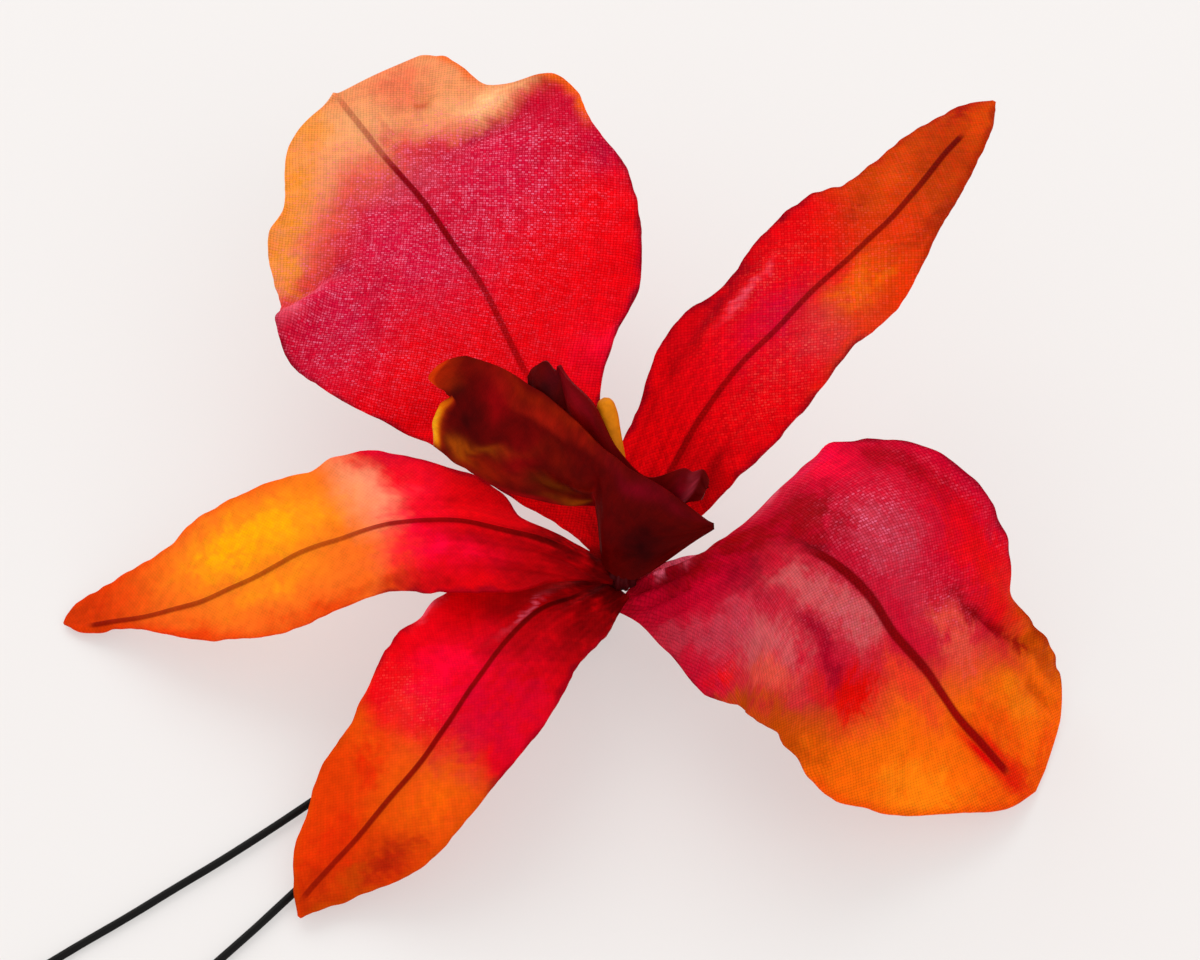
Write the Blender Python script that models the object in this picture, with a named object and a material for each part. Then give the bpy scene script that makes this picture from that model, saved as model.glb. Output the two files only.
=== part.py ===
# Cloth orchid on a two-legged wire pin, lying face up on its petal tips and its pin.
# Sizes are in millimetres here and are turned into metres when a mesh is made.
# Places are measured from the middle of the hub; the whole flower is then raised onto the surface.
import math

import bmesh
import bpy
import numpy as np
from mathutils import Vector

MM = 0.001
GAP = 0.3                 # clearance between pieces that touch on the real flower
HUB_HEIGHT = 12.5         # middle of the hub above the surface
CLOTH = 0.6               # thickness of a cloth blade
RIB_WIRE = 0.5            # diameter of the wire glued along the back of a blade
PIN_WIRE = 0.8            # diameter of the pin's wire
SPAN_STEPS = 40           # steps between two given points of a curve, before it is spaced evenly
RIB_STEPS = 200           # steps that a blade's rib curve is measured in
WIRE_POINTS = 22          # points along a rib wire
TIP_CROWDING = 0.45       # how much closer together a blade's rows lie towards its tip
BASE_REACH = 0.08         # share of the rib over which the corners of a blade's base sweep back
LEAST_WIDTH = 0.5         # narrowest half width that a ruffle is measured against
PAST_EDGE = 1.3           # how far past the edge, in half widths, a ruffle may still grow
FRILL_REACH = 0.12        # share of a scoop's width that its frilled end takes
# The pin's legs, from the bend under the flower to the free ends: (x, y, height above the surface).
PIN_UPPER_LEG = [(-5.0, 5.6, 1.5), (-31.0, -19.6, 0.8), (-59.0, -40.8, 0.4)]
PIN_LOWER_LEG = [(-3.4, 4.2, 1.5), (-29.8, -27.6, 0.8), (-43.4, -42.6, 0.4)]

# A blade is a rib curve with a cut outline and a fold on each side of the rib.
# rib: points from the hub to the tip. left and right: (share of the rib, half width).
# fold: (share, slope of the left side, slope of the right side, curl at 10 mm from the rib).
# ruffle: waves along the rib, their height at the edge, and their phase.
# wire: (share, distance across) along the rib wire, from its start to its end.
BLADES = {
    "petal_upper_left": {
        "rib": [(-1.0, 2.0, -0.1), (-4.2, 9.0, 2.4), (-9.8, 22.4, 6.8), (-15.5, 34.5, 9.2),
                (-22.0, 45.3, 11.0), (-27.4, 53.4, 12.0), (-30.4, 58.3, 12.4)],
        "left": [(0, 1.2), (0.06, 3.4), (0.15, 7.6), (0.27, 12.0), (0.35, 16.3), (0.4, 19.5), (0.45, 21.1),
                 (0.55, 22.4), (0.59, 22.3), (0.62, 21.0), (0.65, 20.1), (0.7, 19.3), (0.75, 18.2),
                 (0.79, 16.7), (0.82, 14.1), (0.86, 12.4), (0.9, 10.8), (0.93, 9.2), (0.96, 5.8),
                 (0.98, 2.2), (1, 0)],
        "right": [(0, 1.2), (0.1, 3.0), (0.2, 4.6), (0.25, 5.3), (0.28, 6.2), (0.316, 8.0), (0.356, 10.2),
                  (0.38, 12.2), (0.41, 14.3), (0.45, 15.8), (0.51, 17.5), (0.56, 18.8), (0.617, 19.7),
                  (0.68, 19.1), (0.77, 20.2), (0.8, 19.6), (0.822, 18.3), (0.836, 15.5), (0.854, 12.9),
                  (0.88, 12.1), (0.93, 11.0), (0.965, 10.3), (0.985, 9.4), (1, 0)],
        "fold": [(0, 0, 0, 0), (0.3, -6, 6, 0.3), (1, -6, 6, 0.3)],
        "ruffle": (5.0, 0.8, 0.2), "back": (0, 0),
        "rows": 28, "columns": 16,
        "wire": [(0.04, 0), (0.4, 0.6), (0.5, 0.6), (0.7, 0.9), (0.85, 1.2), (0.95, 1.2)],
        "colour": (0.78, 0.03, 0.10),
    },
    "petal_lower_right": {
        "rib": [(2.2, -1.0, 0.3), (6.6, -2.9, 5.4), (12.5, -5.0, 11.6), (18.2, -7.5, 14.2),
                (23.4, -9.8, 11.6), (28.3, -12.0, 5.0), (33.6, -14.4, -3.2), (41.2, -17.8, -12.0)],
        "left": [(0, 1.0), (0.13, 1.0), (0.19, 5.1), (0.235, 11.5), (0.3, 13.1), (0.36, 14.2), (0.43, 15.5),
                 (0.48, 16.1), (0.56, 15.9), (0.65, 15.6), (0.69, 14.2), (0.73, 12.3), (0.77, 11.6),
                 (0.83, 12.1), (0.9, 12.8), (0.94, 12.8), (0.96, 11.5), (0.985, 8.8), (1, 0)],
        "right": [(0, 3.0), (0.035, 6.2), (0.09, 10.0), (0.13, 12.6), (0.172, 15.0), (0.21, 16.2),
                  (0.3, 16.8), (0.4, 17.6), (0.45, 17.9), (0.52, 17.1), (0.57, 17.0), (0.65, 17.8),
                  (0.69, 17.3), (0.74, 15.5), (0.8, 13.1), (0.86, 9.9), (0.9, 7.8), (0.95, 5.0), (1, 0)],
        "fold": [(0, 0, -35, 0), (0.2, -10, -22, -0.4), (0.35, 0, -20, -0.4), (0.5, 14, -15, -0.3),
                 (0.7, 18, -12, -0.3), (0.85, 8, -6, 0), (1, 0, 0, 0)],
        "ruffle": (4.0, 0.6, 0.0), "back": (0, 3.2),
        "rows": 28, "columns": 16,
        "wire": [(0.05, 0), (0.36, -0.5), (0.5, -1.3), (0.6, -1.5), (0.8, -1.2), (0.93, -1.4)],
        "colour": (0.70, 0.03, 0.09),
    },
    "sepal_upper_right": {
        "rib": [(1.4, 1.9, 0.3), (5.0, 8.6, 6.0), (9.6, 13.6, 12.0), (14.8, 18.0, 15.6),
                (20.0, 22.6, 18.0), (28.4, 31.0, 20.0), (35.0, 41.6, 19.6), (39.6, 48.6, 19.0)],
        "left": [(0, 1.0), (0.06, 3.0), (0.12, 5.8), (0.2, 6.5), (0.27, 7.9), (0.33, 8.3), (0.4, 7.7),
                 (0.5, 8.4), (0.56, 8.6), (0.6, 8.3), (0.67, 6.8), (0.76, 5.6), (0.85, 4.4), (0.93, 3.1),
                 (0.97, 1.8), (1, 0)],
        "right": [(0, 1.0), (0.1, 4.8), (0.19, 6.7), (0.27, 7.9), (0.35, 8.1), (0.42, 7.6), (0.47, 7.2),
                  (0.52, 7.4), (0.58, 6.8), (0.65, 5.3), (0.7, 4.2), (0.78, 3.5), (0.86, 2.8),
                  (0.93, 1.9), (1, 0)],
        "fold": [(0, 0, 0, 0), (0.3, 6, -6, 0.0), (1, 6, -6, 0.0)],
        "ruffle": (4.0, 0.3, 0.0), "back": (0, 0),
        "rows": 24, "columns": 8,
        "wire": [(0.05, 0), (0.25, 0), (0.6, 0.3), (0.75, 0.4), (0.9, 0.2)],
        "colour": (0.80, 0.05, 0.03),
    },
    "sepal_left": {
        "rib": [(-2.1, 0.1, 1.1), (-8.0, 0.9, 4.4), (-18.0, 1.9, 6.2), (-29.1, 1.3, 3.0),
                (-42.8, 0.6, -4.9), (-53.4, 1.8, -10.4), (-58.0, 3.0, -12.0)],
        "left": [(0, 1.4), (0.08, 4.5), (0.155, 7.1), (0.27, 8.0), (0.38, 7.1), (0.47, 7.3), (0.57, 7.0),
                 (0.65, 5.9), (0.73, 4.4), (0.8, 2.5), (0.85, 1.3), (0.91, 0.8), (0.96, 0.7), (1, 0)],
        "right": [(0, 1.0), (0.077, 2.0), (0.19, 4.9), (0.25, 6.5), (0.3, 7.6), (0.35, 9.2), (0.4, 10.0),
                  (0.44, 9.8), (0.49, 8.9), (0.62, 9.0), (0.71, 8.8), (0.76, 7.8), (0.82, 6.0),
                  (0.9, 4.4), (0.96, 3.5), (0.985, 2.4), (1, 0)],
        "fold": [(0, 0, 0, 0), (0.2, -6, -6, 0.0), (0.5, -14, 14, 0), (0.8, -14, 20, 0.0), (1, 0, 8, 0.0)],
        "ruffle": (3.0, 0.3, 0.0), "back": (0, 0),
        "rows": 24, "columns": 8,
        "wire": [(0.06, 0.2), (0.2, 0.1), (0.45, -0.4), (0.6, 0), (0.75, 0.4), (0.945, 0.3)],
        "colour": (0.86, 0.22, 0.02),
    },
    "sepal_bottom": {
        "rib": [(-1.6, -1.6, -0.7), (-7.6, -7.8, 1.8), (-13.7, -15.8, 2.0), (-19.5, -21.1, -2.0),
                (-26.2, -27.4, -8.4), (-31.1, -33.2, -11.1)],
        "left": [(0, 2.0), (0.05, 3.5), (0.11, 4.8), (0.22, 5.3), (0.3, 6.3), (0.38, 7.1), (0.49, 7.6),
                 (0.68, 7.5), (0.74, 7.1), (0.79, 6.2), (0.87, 3.9), (0.96, 1.1), (1, 0)],
        "right": [(0, 2.2), (0.1, 6.2), (0.19, 8.8), (0.25, 9.8), (0.32, 9.9), (0.37, 10.7), (0.43, 11.2),
                  (0.48, 11.0), (0.53, 10.2), (0.58, 9.1), (0.65, 8.5), (0.73, 8.5), (0.78, 7.8),
                  (0.83, 6.2), (0.88, 5.2), (0.95, 2.5), (1, 0)],
        "fold": [(0, 0, 0, 0), (0.3, -6, -2, 0.0), (0.8, -4, -2, 0.0), (1, 0, 0, 0.0)],
        "ruffle": (3.0, 0.3, 0.0), "back": (0, 0),
        "rows": 22, "columns": 8,
        "wire": [(0.08, -1.2), (0.2, -1.8), (0.4, -1), (0.5, -0.1), (0.62, 0.2), (0.75, -0.2), (0.93, -0.9)],
        "colour": (0.78, 0.05, 0.04),
    },
}

# A scoop of the lip is lofted between a foot line and a rim line, and bulges outwards between them.
# Each station: (foot point, rim point, bulge). frill: (height, how far the outer end stands out there).
SCOOPS = {
    "lip": {
        "stations": [((-18.6, 7.5, 11.0), (-16.6, 15.4, 16.0), 0.8),
                     ((-15.1, 6.2, 8.6), (-12.5, 13.9, 15.8), 1.8),
                     ((-10.2, 4.4, 6.6), (-8.1, 11.5, 14.6), 2.2),
                     ((-5.4, 4.1, 5.2), (-4.6, 8.4, 13.8), 2.2),
                     ((-2.7, 3.3, 4.4), (-2.2, 6.2, 12.7), 2.0),
                     ((-2.3, 0.3, 2.8), (0.2, 4.4, 11.8), 1.8),
                     ((1.05, -0.75, 2.1), (3.9, 2.5, 10.6), 1.4),
                     ((8.8, -0.2, 7.5), (8.7, 0.4, 8.3), 0.1)],
        "frill": [(0, 0), (0.3, 0.5), (0.5, 0.2), (0.62, -0.8), (0.72, 0.9), (0.8, 1.9), (0.9, 1.3), (1, 0)],
        "columns": 26, "rows": 12,
        "colour": (0.25, 0.02, 0.012),
    },
    "throat": {
        "stations": [((-8.0, 12.0, 10.5), (-9.2, 14.2, 16.8), 0.3),
                     ((-5.2, 8.4, 8.5), (-6.6, 13.0, 17.0), 0.8),
                     ((-2.8, 5.7, 6.8), (-3.0, 9.5, 15.3), 0.4),
                     ((-0.6, 0.6, 2.4), (-0.4, 6.3, 11.8), 0.4),
                     ((1.4, 0.5, 2.4), (2.8, 4.6, 9.6), 0.6),
                     ((4.6, 3.0, 6.6), (6.2, 4.6, 11.0), 0.5),
                     ((7.8, 2.6, 8.6), (8.9, 3.9, 10.9), 0.2)],
        "frill": [(0, 0), (0.5, 0.5), (1, 0)],
        "columns": 20, "rows": 8,
        "colour": (0.10, 0.005, 0.015),
    },
}
OUTWARD = (-0.45, -0.75, -0.48)     # the side of a scoop that faces away from the column

# profile: (share of the radius, share of the length), from the foot's middle to the crown of the head.
COLUMN = {"foot": (0.5, 1.75, 1.75), "tip": (-1.8, 10.4, 14.9), "width": 2.0, "steps": 10,
          "profile": [(0, 0), (0.75, 0), (0.8, 0.35), (0.9, 0.75), (1, 0.88), (0.8, 0.96), (0.45, 0.99), (0, 1)]}
HUB_RADIUS = 1.9
# The taped stub runs from under the hub to a pad that grips the pin and lies flat on the surface.
STUB_RADIUS = 1.3
PAD = {"middle": (-4.4, 4.7, -10.9), "along": 3.7, "across": 2.9, "height": 2.5}


def clear_scene():
    for obj in list(bpy.data.objects):
        bpy.data.objects.remove(obj)


def material(name, colour, roughness, metallic=0.0):
    made = bpy.data.materials.new(name)
    made.use_nodes = True
    shader = made.node_tree.nodes["Principled BSDF"]
    shader.inputs["Base Color"].default_value = (*colour, 1)
    shader.inputs["Roughness"].default_value = roughness
    shader.inputs["Metallic"].default_value = metallic
    return made


def link(name, data, finish, parent):
    obj = bpy.data.objects.new(name, data)
    bpy.context.collection.objects.link(obj)
    obj.data.materials.append(finish)
    obj.parent = parent
    return obj


def between(stations, share):
    """The value at a share along stations of (share, value), by a cubic that never overshoots."""
    x = np.array([s[0] for s in stations], float)
    y = np.array([s[1] for s in stations], float)
    step, rise = np.diff(x), np.diff(y)
    slope = rise / step
    tangent = np.zeros(len(x))
    for i in range(1, len(x) - 1):
        if slope[i - 1] * slope[i] > 0:
            tangent[i] = 2 * slope[i - 1] * slope[i] / (slope[i - 1] + slope[i])
    tangent[0], tangent[-1] = slope[0], slope[-1]
    share = np.asarray(share, float)
    i = np.clip(np.searchsorted(x, share, side="right") - 1, 0, len(step) - 1)
    t = (share - x[i]) / step[i]
    return (y[i] * (1 + 2 * t) * (1 - t) ** 2 + tangent[i] * step[i] * t * (1 - t) ** 2
            + y[i + 1] * t ** 2 * (3 - 2 * t) - tangent[i + 1] * step[i] * t ** 2 * (1 - t))


def curve_through(points, count):
    """Evenly spaced points on a smooth curve through the given ones."""
    p = np.array(points, float)
    p = np.vstack([2 * p[0] - p[1], p, 2 * p[-1] - p[-2]])
    fine = []
    for a, b, c, d in zip(p, p[1:], p[2:], p[3:]):
        for t in np.linspace(0, 1, SPAN_STEPS, endpoint=False):
            fine.append(0.5 * (2 * b + (c - a) * t + (2 * a - 5 * b + 4 * c - d) * t ** 2
                               + (3 * b - a - 3 * c + d) * t ** 3))
    fine = np.array(fine + [p[-2]])
    run = np.concatenate([[0], np.cumsum(np.linalg.norm(np.diff(fine, axis=0), axis=1))])
    at = np.linspace(0, run[-1], count)
    return np.stack([np.interp(at, run, fine[:, k]) for k in range(3)], axis=1)


class Blade:
    """The middle surface of one cloth blade, as a function of share along and distance across."""

    def __init__(self, spec):
        self.spec = spec
        self.line = curve_through(spec["rib"], RIB_STEPS + 1)
        self.along = np.linspace(0, 1, RIB_STEPS + 1)
        self.tangent = np.gradient(self.line, axis=0)
        self.tangent /= np.linalg.norm(self.tangent, axis=1)[:, None]

    def at(self, share, values):
        return np.stack([np.interp(share, self.along, values[:, k]) for k in range(3)], axis=-1)

    def frame(self, share):
        forward = self.at(share, self.tangent)
        left = np.cross((0, 0, 1), forward)
        left /= np.linalg.norm(left, axis=-1)[..., None]
        up = np.cross(forward, left)
        return self.at(share, self.line), left, up / np.linalg.norm(up, axis=-1)[..., None]

    def half_width(self, share, side):
        return between(self.spec["left" if side > 0 else "right"], share)

    def point(self, share, across):
        """Points at these shares along the rib and distances across it, left being positive."""
        share, across = np.broadcast_arrays(np.asarray(share, float), np.asarray(across, float))
        middle, left, up = self.frame(share)
        furthest = np.where(across > 0, *self.spec["back"])
        back = furthest * np.clip(np.abs(across) / self.half_width(0, -1), 0, 1)
        back = back * np.clip(1 - share / BASE_REACH, 0, 1) ** 2
        middle = middle - self.tangent[0] * back[..., None]
        fold = self.spec["fold"]
        slope_left = between([(f[0], f[1]) for f in fold], share)
        slope_right = between([(f[0], f[2]) for f in fold], share)
        curl = between([(f[0], f[3]) for f in fold], share)
        slope = np.radians(np.where(across > 0, slope_left, slope_right))
        width = np.where(across > 0, self.half_width(share, 1), self.half_width(share, -1))
        edge = np.clip(np.abs(across) / np.maximum(width, LEAST_WIDTH), 0, PAST_EDGE)
        waves, height, phase = self.spec["ruffle"]
        ruffle = height * edge ** 3 * np.sin(2 * math.pi * (waves * share + phase)) * np.sign(across)
        lift = np.abs(across) * np.sin(slope) + curl * (across / 10) ** 2 + ruffle
        return middle + left * (across * np.cos(slope))[..., None] + up * lift[..., None]


def blade_mesh(name, spec):
    """A grid of the cut outline laid on the blade's middle surface; its tip is one point."""
    blade = Blade(spec)
    rows, columns = spec["rows"], spec["columns"]
    mesh = bpy.data.meshes.new(name)
    bm = bmesh.new()
    grid = []
    for i in range(rows):
        even = i / rows
        share = (1 - TIP_CROWDING) * even + TIP_CROWDING * math.sin(even * math.pi / 2)
        left, right = blade.half_width(share, 1), blade.half_width(share, -1)
        row = []
        for j in range(columns + 1):
            side = 2 * j / columns - 1
            across = side * (left if side > 0 else right)
            row.append(bm.verts.new(blade.point(share, across) * MM))
        grid.append(row)
    tip = bm.verts.new(blade.point(1.0, 0.0) * MM)
    for low, high in zip(grid, grid[1:]):
        for j in range(columns):
            if j < columns // 2:
                bm.faces.new((low[j], high[j], low[j + 1]))
                bm.faces.new((high[j], high[j + 1], low[j + 1]))
            else:
                bm.faces.new((low[j], high[j], high[j + 1]))
                bm.faces.new((low[j], high[j + 1], low[j + 1]))
    for a, b in zip(grid[-1], grid[-1][1:]):
        bm.faces.new((a, tip, b))
    bmesh.ops.recalc_face_normals(bm, faces=bm.faces)
    bm.to_mesh(mesh)
    bm.free()
    mesh.shade_smooth()
    return mesh


def thicken(obj, thickness):
    solid = obj.modifiers.new("Cloth", "SOLIDIFY")
    solid.thickness = thickness * MM
    solid.offset = 0


def make_blade(name, spec, parent):
    finish = material(name, spec["colour"], 0.7)
    obj = link(name, blade_mesh(name, spec), finish, parent)
    thicken(obj, CLOTH)
    return obj


def tube(name, points, diameter, sides_level, finish, parent):
    data = bpy.data.curves.new(name, "CURVE")
    data.dimensions = "3D"
    data.bevel_depth = diameter / 2 * MM
    data.bevel_resolution = sides_level
    data.use_fill_caps = True
    spline = data.splines.new("POLY")
    spline.points.add(len(points) - 1)
    for target, point in zip(spline.points, points):
        target.co = (*(np.asarray(point) * MM), 1)
    return link(name, data, finish, parent)


def make_rib(name, spec, finish, parent):
    """The wire under a blade, following its rib at a glue line's distance."""
    blade = Blade(spec)
    below = CLOTH / 2 + GAP + RIB_WIRE / 2
    shares = np.linspace(spec["wire"][0][0], spec["wire"][-1][0], WIRE_POINTS)
    across = between(spec["wire"], shares)
    up = blade.frame(shares)[2]
    return tube(name, blade.point(shares, across) - up * below, RIB_WIRE, 1, finish, parent)


def scoop_surface(spec, across, height):
    stations = spec["stations"]
    shares = np.linspace(0, 1, len(stations))
    foot = [between([(s, st[0][k]) for s, st in zip(shares, stations)], across) for k in range(3)]
    rim = [between([(s, st[1][k]) for s, st in zip(shares, stations)], across) for k in range(3)]
    bulge = between([(s, st[2]) for s, st in zip(shares, stations)], across)
    foot, rim = np.array(foot), np.array(rim)
    frill = between(spec["frill"], height) * max(0, 1 - across / FRILL_REACH) ** 2
    edge_out = np.array([-frill, 0, 0])
    return foot + (rim - foot) * height + np.array(OUTWARD) * bulge * 4 * height * (1 - height) + edge_out


def make_scoop(name, spec, parent):
    mesh = bpy.data.meshes.new(name)
    bm = bmesh.new()
    grid = []
    for i in range(spec["columns"] + 1):
        grid.append([bm.verts.new(scoop_surface(spec, i / spec["columns"], j / spec["rows"]) * MM)
                     for j in range(spec["rows"] + 1)])
    for one, two in zip(grid, grid[1:]):
        for j in range(spec["rows"]):
            bm.faces.new((one[j], two[j], two[j + 1]))
            bm.faces.new((one[j], two[j + 1], one[j + 1]))
    bmesh.ops.recalc_face_normals(bm, faces=bm.faces)
    bm.to_mesh(mesh)
    bm.free()
    mesh.shade_smooth()
    obj = link(name, mesh, material(name, spec["colour"], 0.6), parent)
    thicken(obj, CLOTH)
    return obj


def make_column(parent):
    """The yellow stick: a tapered rod with a rounded head."""
    foot, tip = Vector(COLUMN["foot"]), Vector(COLUMN["tip"])
    length = (tip - foot).length
    mesh = bpy.data.meshes.new("column")
    bm = bmesh.new()
    radius = COLUMN["width"] / 2
    verts = [bm.verts.new((r * radius * MM, 0, share * length * MM)) for r, share in COLUMN["profile"]]
    edges = [bm.edges.new(pair) for pair in zip(verts, verts[1:])]
    bmesh.ops.spin(bm, geom=verts + edges, axis=(0, 0, 1), cent=(0, 0, 0), steps=COLUMN["steps"],
                   angle=math.tau, use_merge=True)
    bmesh.ops.remove_doubles(bm, verts=bm.verts, dist=1e-6)
    bmesh.ops.recalc_face_normals(bm, faces=bm.faces)
    bm.to_mesh(mesh)
    bm.free()
    mesh.shade_smooth()
    obj = link("column", mesh, material("column", (0.75, 0.42, 0.03), 0.5), parent)
    obj.location = foot * MM
    obj.rotation_mode = "QUATERNION"
    obj.rotation_quaternion = (tip - foot).to_track_quat("Z", "Y")
    return obj


def make_receptacle(parent):
    mesh = bpy.data.meshes.new("receptacle")
    bm = bmesh.new()
    bmesh.ops.create_uvsphere(bm, u_segments=16, v_segments=10, radius=HUB_RADIUS * MM)
    bm.to_mesh(mesh)
    bm.free()
    mesh.shade_smooth()
    return link("receptacle", mesh, material("receptacle", (0.12, 0.01, 0.02), 0.6), parent)


def pin_legs():
    drop = np.array([0, 0, -HUB_HEIGHT])
    return np.array(PIN_UPPER_LEG) + drop, np.array(PIN_LOWER_LEG) + drop


def pin_route():
    """Up one leg, round the bend under the flower, and down the other leg."""
    upper, lower = pin_legs()
    middle = (upper[0] + lower[0]) / 2
    across = (upper[0] - lower[0]) / 2
    onward = np.array([across[1], -across[0], 0])
    bend = [middle + across * math.cos(a) + onward * math.sin(a) for a in np.linspace(0, math.pi, 9)]
    return [*upper[:0:-1], *bend, *lower[1:]]


def rod(name, start, end, start_radius, end_radius, sides, parent):
    """A tapered round rod between two points, with flat ends."""
    start, end = Vector(start), Vector(end)
    mesh = bpy.data.meshes.new(name)
    bm = bmesh.new()
    bmesh.ops.create_cone(bm, cap_ends=True, segments=sides, radius1=start_radius * MM,
                          radius2=end_radius * MM, depth=(end - start).length * MM)
    bm.to_mesh(mesh)
    bm.free()
    obj = bpy.data.objects.new(name, mesh)
    bpy.context.collection.objects.link(obj)
    obj.parent = parent
    obj.location = (start + end) / 2 * MM
    obj.rotation_mode = "QUATERNION"
    obj.rotation_quaternion = (end - start).to_track_quat("Z", "Y")
    return obj


def combine(target, other, operation):
    """Adds other to target, or cuts it away, and hides it as a helper."""
    change = target.modifiers.new(other.name, "BOOLEAN")
    change.operation = operation
    change.object = other
    other.hide_render = True
    other.display_type = "WIRE"


def make_pad(run, parent):
    """A low dome, longest along the pin, cut flat where it meets the surface."""
    mesh = bpy.data.meshes.new("binding_pad")
    bm = bmesh.new()
    bmesh.ops.create_uvsphere(bm, u_segments=16, v_segments=10, radius=MM)
    bmesh.ops.scale(bm, vec=(PAD["along"], PAD["across"], PAD["height"]), verts=bm.verts)
    surface = -HUB_HEIGHT - PAD["middle"][2]
    cut = bmesh.ops.bisect_plane(bm, geom=bm.verts[:] + bm.edges[:] + bm.faces[:],
                                 plane_co=(0, 0, surface * MM), plane_no=(0, 0, -1), clear_outer=True)
    rim = [e for e in cut["geom_cut"] if isinstance(e, bmesh.types.BMEdge)]
    bmesh.ops.contextual_create(bm, geom=rim)
    bmesh.ops.recalc_face_normals(bm, faces=bm.faces)
    bm.to_mesh(mesh)
    bm.free()
    pad = bpy.data.objects.new("binding_pad", mesh)
    bpy.context.collection.objects.link(pad)
    pad.parent = parent
    pad.location = Vector(PAD["middle"]) * MM
    pad.rotation_euler.z = math.atan2(run[1], run[0])
    return pad


def make_channel(parent):
    """The pin's own shape, wider by the gap, to cut its channel through the binding."""
    finish = bpy.data.materials["pin"]
    curve = tube("channel_curve", pin_route(), PIN_WIRE + 2 * GAP, 2, finish, parent)
    bpy.context.view_layer.update()
    evaluated = curve.evaluated_get(bpy.context.evaluated_depsgraph_get())
    channel = bpy.data.objects.new("channel", bpy.data.meshes.new_from_object(evaluated))
    bpy.data.objects.remove(curve)
    bpy.context.collection.objects.link(channel)
    channel.parent = parent
    return channel


def make_binding(parent):
    """The taped stub from under the hub to the pad that grips the pin's bend."""
    pad_middle = Vector(PAD["middle"])
    top = pad_middle.normalized() * (HUB_RADIUS + GAP)
    obj = rod("binding", top, pad_middle, STUB_RADIUS, STUB_RADIUS, 12, parent)
    obj.data.materials.append(material("binding", (0.06, 0.012, 0.015), 0.75))
    upper, lower = pin_legs()
    combine(obj, make_pad(upper[1] + lower[1] - upper[0] - lower[0], parent), "UNION")
    combine(obj, make_channel(parent), "DIFFERENCE")
    return obj


def centre_on_origin(flower):
    """Moves the flower so that its box is centred over the origin and stands on z = 0."""
    flower.location.z = HUB_HEIGHT * MM
    bpy.context.view_layer.update()
    graph = bpy.context.evaluated_depsgraph_get()
    solids = [o.evaluated_get(graph) for o in flower.children if not o.hide_render]
    places = np.array([solid.matrix_world @ v.co for solid in solids for v in solid.to_mesh().vertices])
    middle = (places.min(axis=0) + places.max(axis=0)) / 2
    flower.location.x, flower.location.y = -middle[0], -middle[1]


def make_flower():
    flower = bpy.data.objects.new("flower", None)
    bpy.context.collection.objects.link(flower)
    wire = material("rib_wire", (0.05, 0.01, 0.01), 0.5)
    for name, spec in BLADES.items():
        make_blade(name, spec, flower)
        make_rib(name.replace("petal", "rib_petal").replace("sepal", "rib_sepal"), spec, wire, flower)
    for name, spec in SCOOPS.items():
        make_scoop(name, spec, flower)
    make_column(flower)
    make_receptacle(flower)
    tube("pin", pin_route(), PIN_WIRE, 2, material("pin", (0.012, 0.011, 0.012), 0.35, 1.0), flower)
    make_binding(flower)
    centre_on_origin(flower)


clear_scene()
make_flower()
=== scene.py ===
# A cloth orchid boutonniere lying face up: five wired blades, a folded lip and throat, a column and a pin.
# Sizes are in millimetres from the middle of the hub; meshes are made in metres, in the frame's own place.
import math

import bpy
import numpy as np
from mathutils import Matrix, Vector, noise


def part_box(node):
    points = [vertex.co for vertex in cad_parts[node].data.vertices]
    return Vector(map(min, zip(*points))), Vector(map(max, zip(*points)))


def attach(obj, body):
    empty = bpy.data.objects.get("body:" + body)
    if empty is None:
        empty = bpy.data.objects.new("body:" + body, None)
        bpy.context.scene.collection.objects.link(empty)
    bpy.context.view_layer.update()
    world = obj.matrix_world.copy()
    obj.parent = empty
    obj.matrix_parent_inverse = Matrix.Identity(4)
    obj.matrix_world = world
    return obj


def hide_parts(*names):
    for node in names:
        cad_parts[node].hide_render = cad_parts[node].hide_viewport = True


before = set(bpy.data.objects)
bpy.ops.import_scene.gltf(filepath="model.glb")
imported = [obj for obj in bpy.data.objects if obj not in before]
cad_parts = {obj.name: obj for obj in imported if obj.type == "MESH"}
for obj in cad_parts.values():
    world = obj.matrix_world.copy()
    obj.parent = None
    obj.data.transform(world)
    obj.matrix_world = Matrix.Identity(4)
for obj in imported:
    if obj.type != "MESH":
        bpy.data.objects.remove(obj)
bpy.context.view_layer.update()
mm = 0.001
hubLow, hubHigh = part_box("receptacle")
hub = np.array((hubLow + hubHigh) / 2) / mm     # everything on the flower is placed from here
print("frame loaded, hub at", hub.round(2))

# The dyes, and the colours of painted highlights, sheen and shade, as screen colours
tints = {
    "red": (232, 0, 14), "deepRed": (160, 0, 8), "darkRed": (96, 0, 2), "crimson": (208, 0, 48),
    "cerise": (222, 0, 76), "palePeach": (252, 182, 140), "redSalmon": (232, 66, 34), "magenta": (186, 0, 60),
    "rose": (202, 66, 88), "dusty": (212, 98, 102), "pink": (244, 110, 140), "salmon": (230, 92, 68),
    "peach": (237, 166, 108), "paleOrange": (246, 196, 130), "amber": (250, 168, 20), "orange": (242, 116, 0),
    "redOrange": (226, 60, 0), "brownOrange": (200, 80, 0), "scarlet": (226, 8, 0), "hotPink": (246, 0, 58),
    "yellow": (250, 196, 0), "maroon": (98, 0, 0), "lipRed": (96, 1, 0), "blackRed": (48, 0, 2),
    "wine": (130, 0, 26), "rust": (160, 30, 0), "olive": (112, 50, 0), "ochre": (178, 78, 0),
    "brick": (176, 26, 6), "gold": (238, 158, 44), "cream": (252, 214, 150), "deepOrange": (234, 92, 4),
    "ragged": (172, 0, 38),
}


def linear(screen):
    # a screen colour as linear light
    c = np.array(screen, float) / 255
    return np.where(c <= 0.04045, c / 12.92, ((c + 0.055) / 1.055) ** 2.4)


def smooth(t):
    t = np.clip(t, 0, 1)
    return t * t * (3 - 2 * t)


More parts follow.
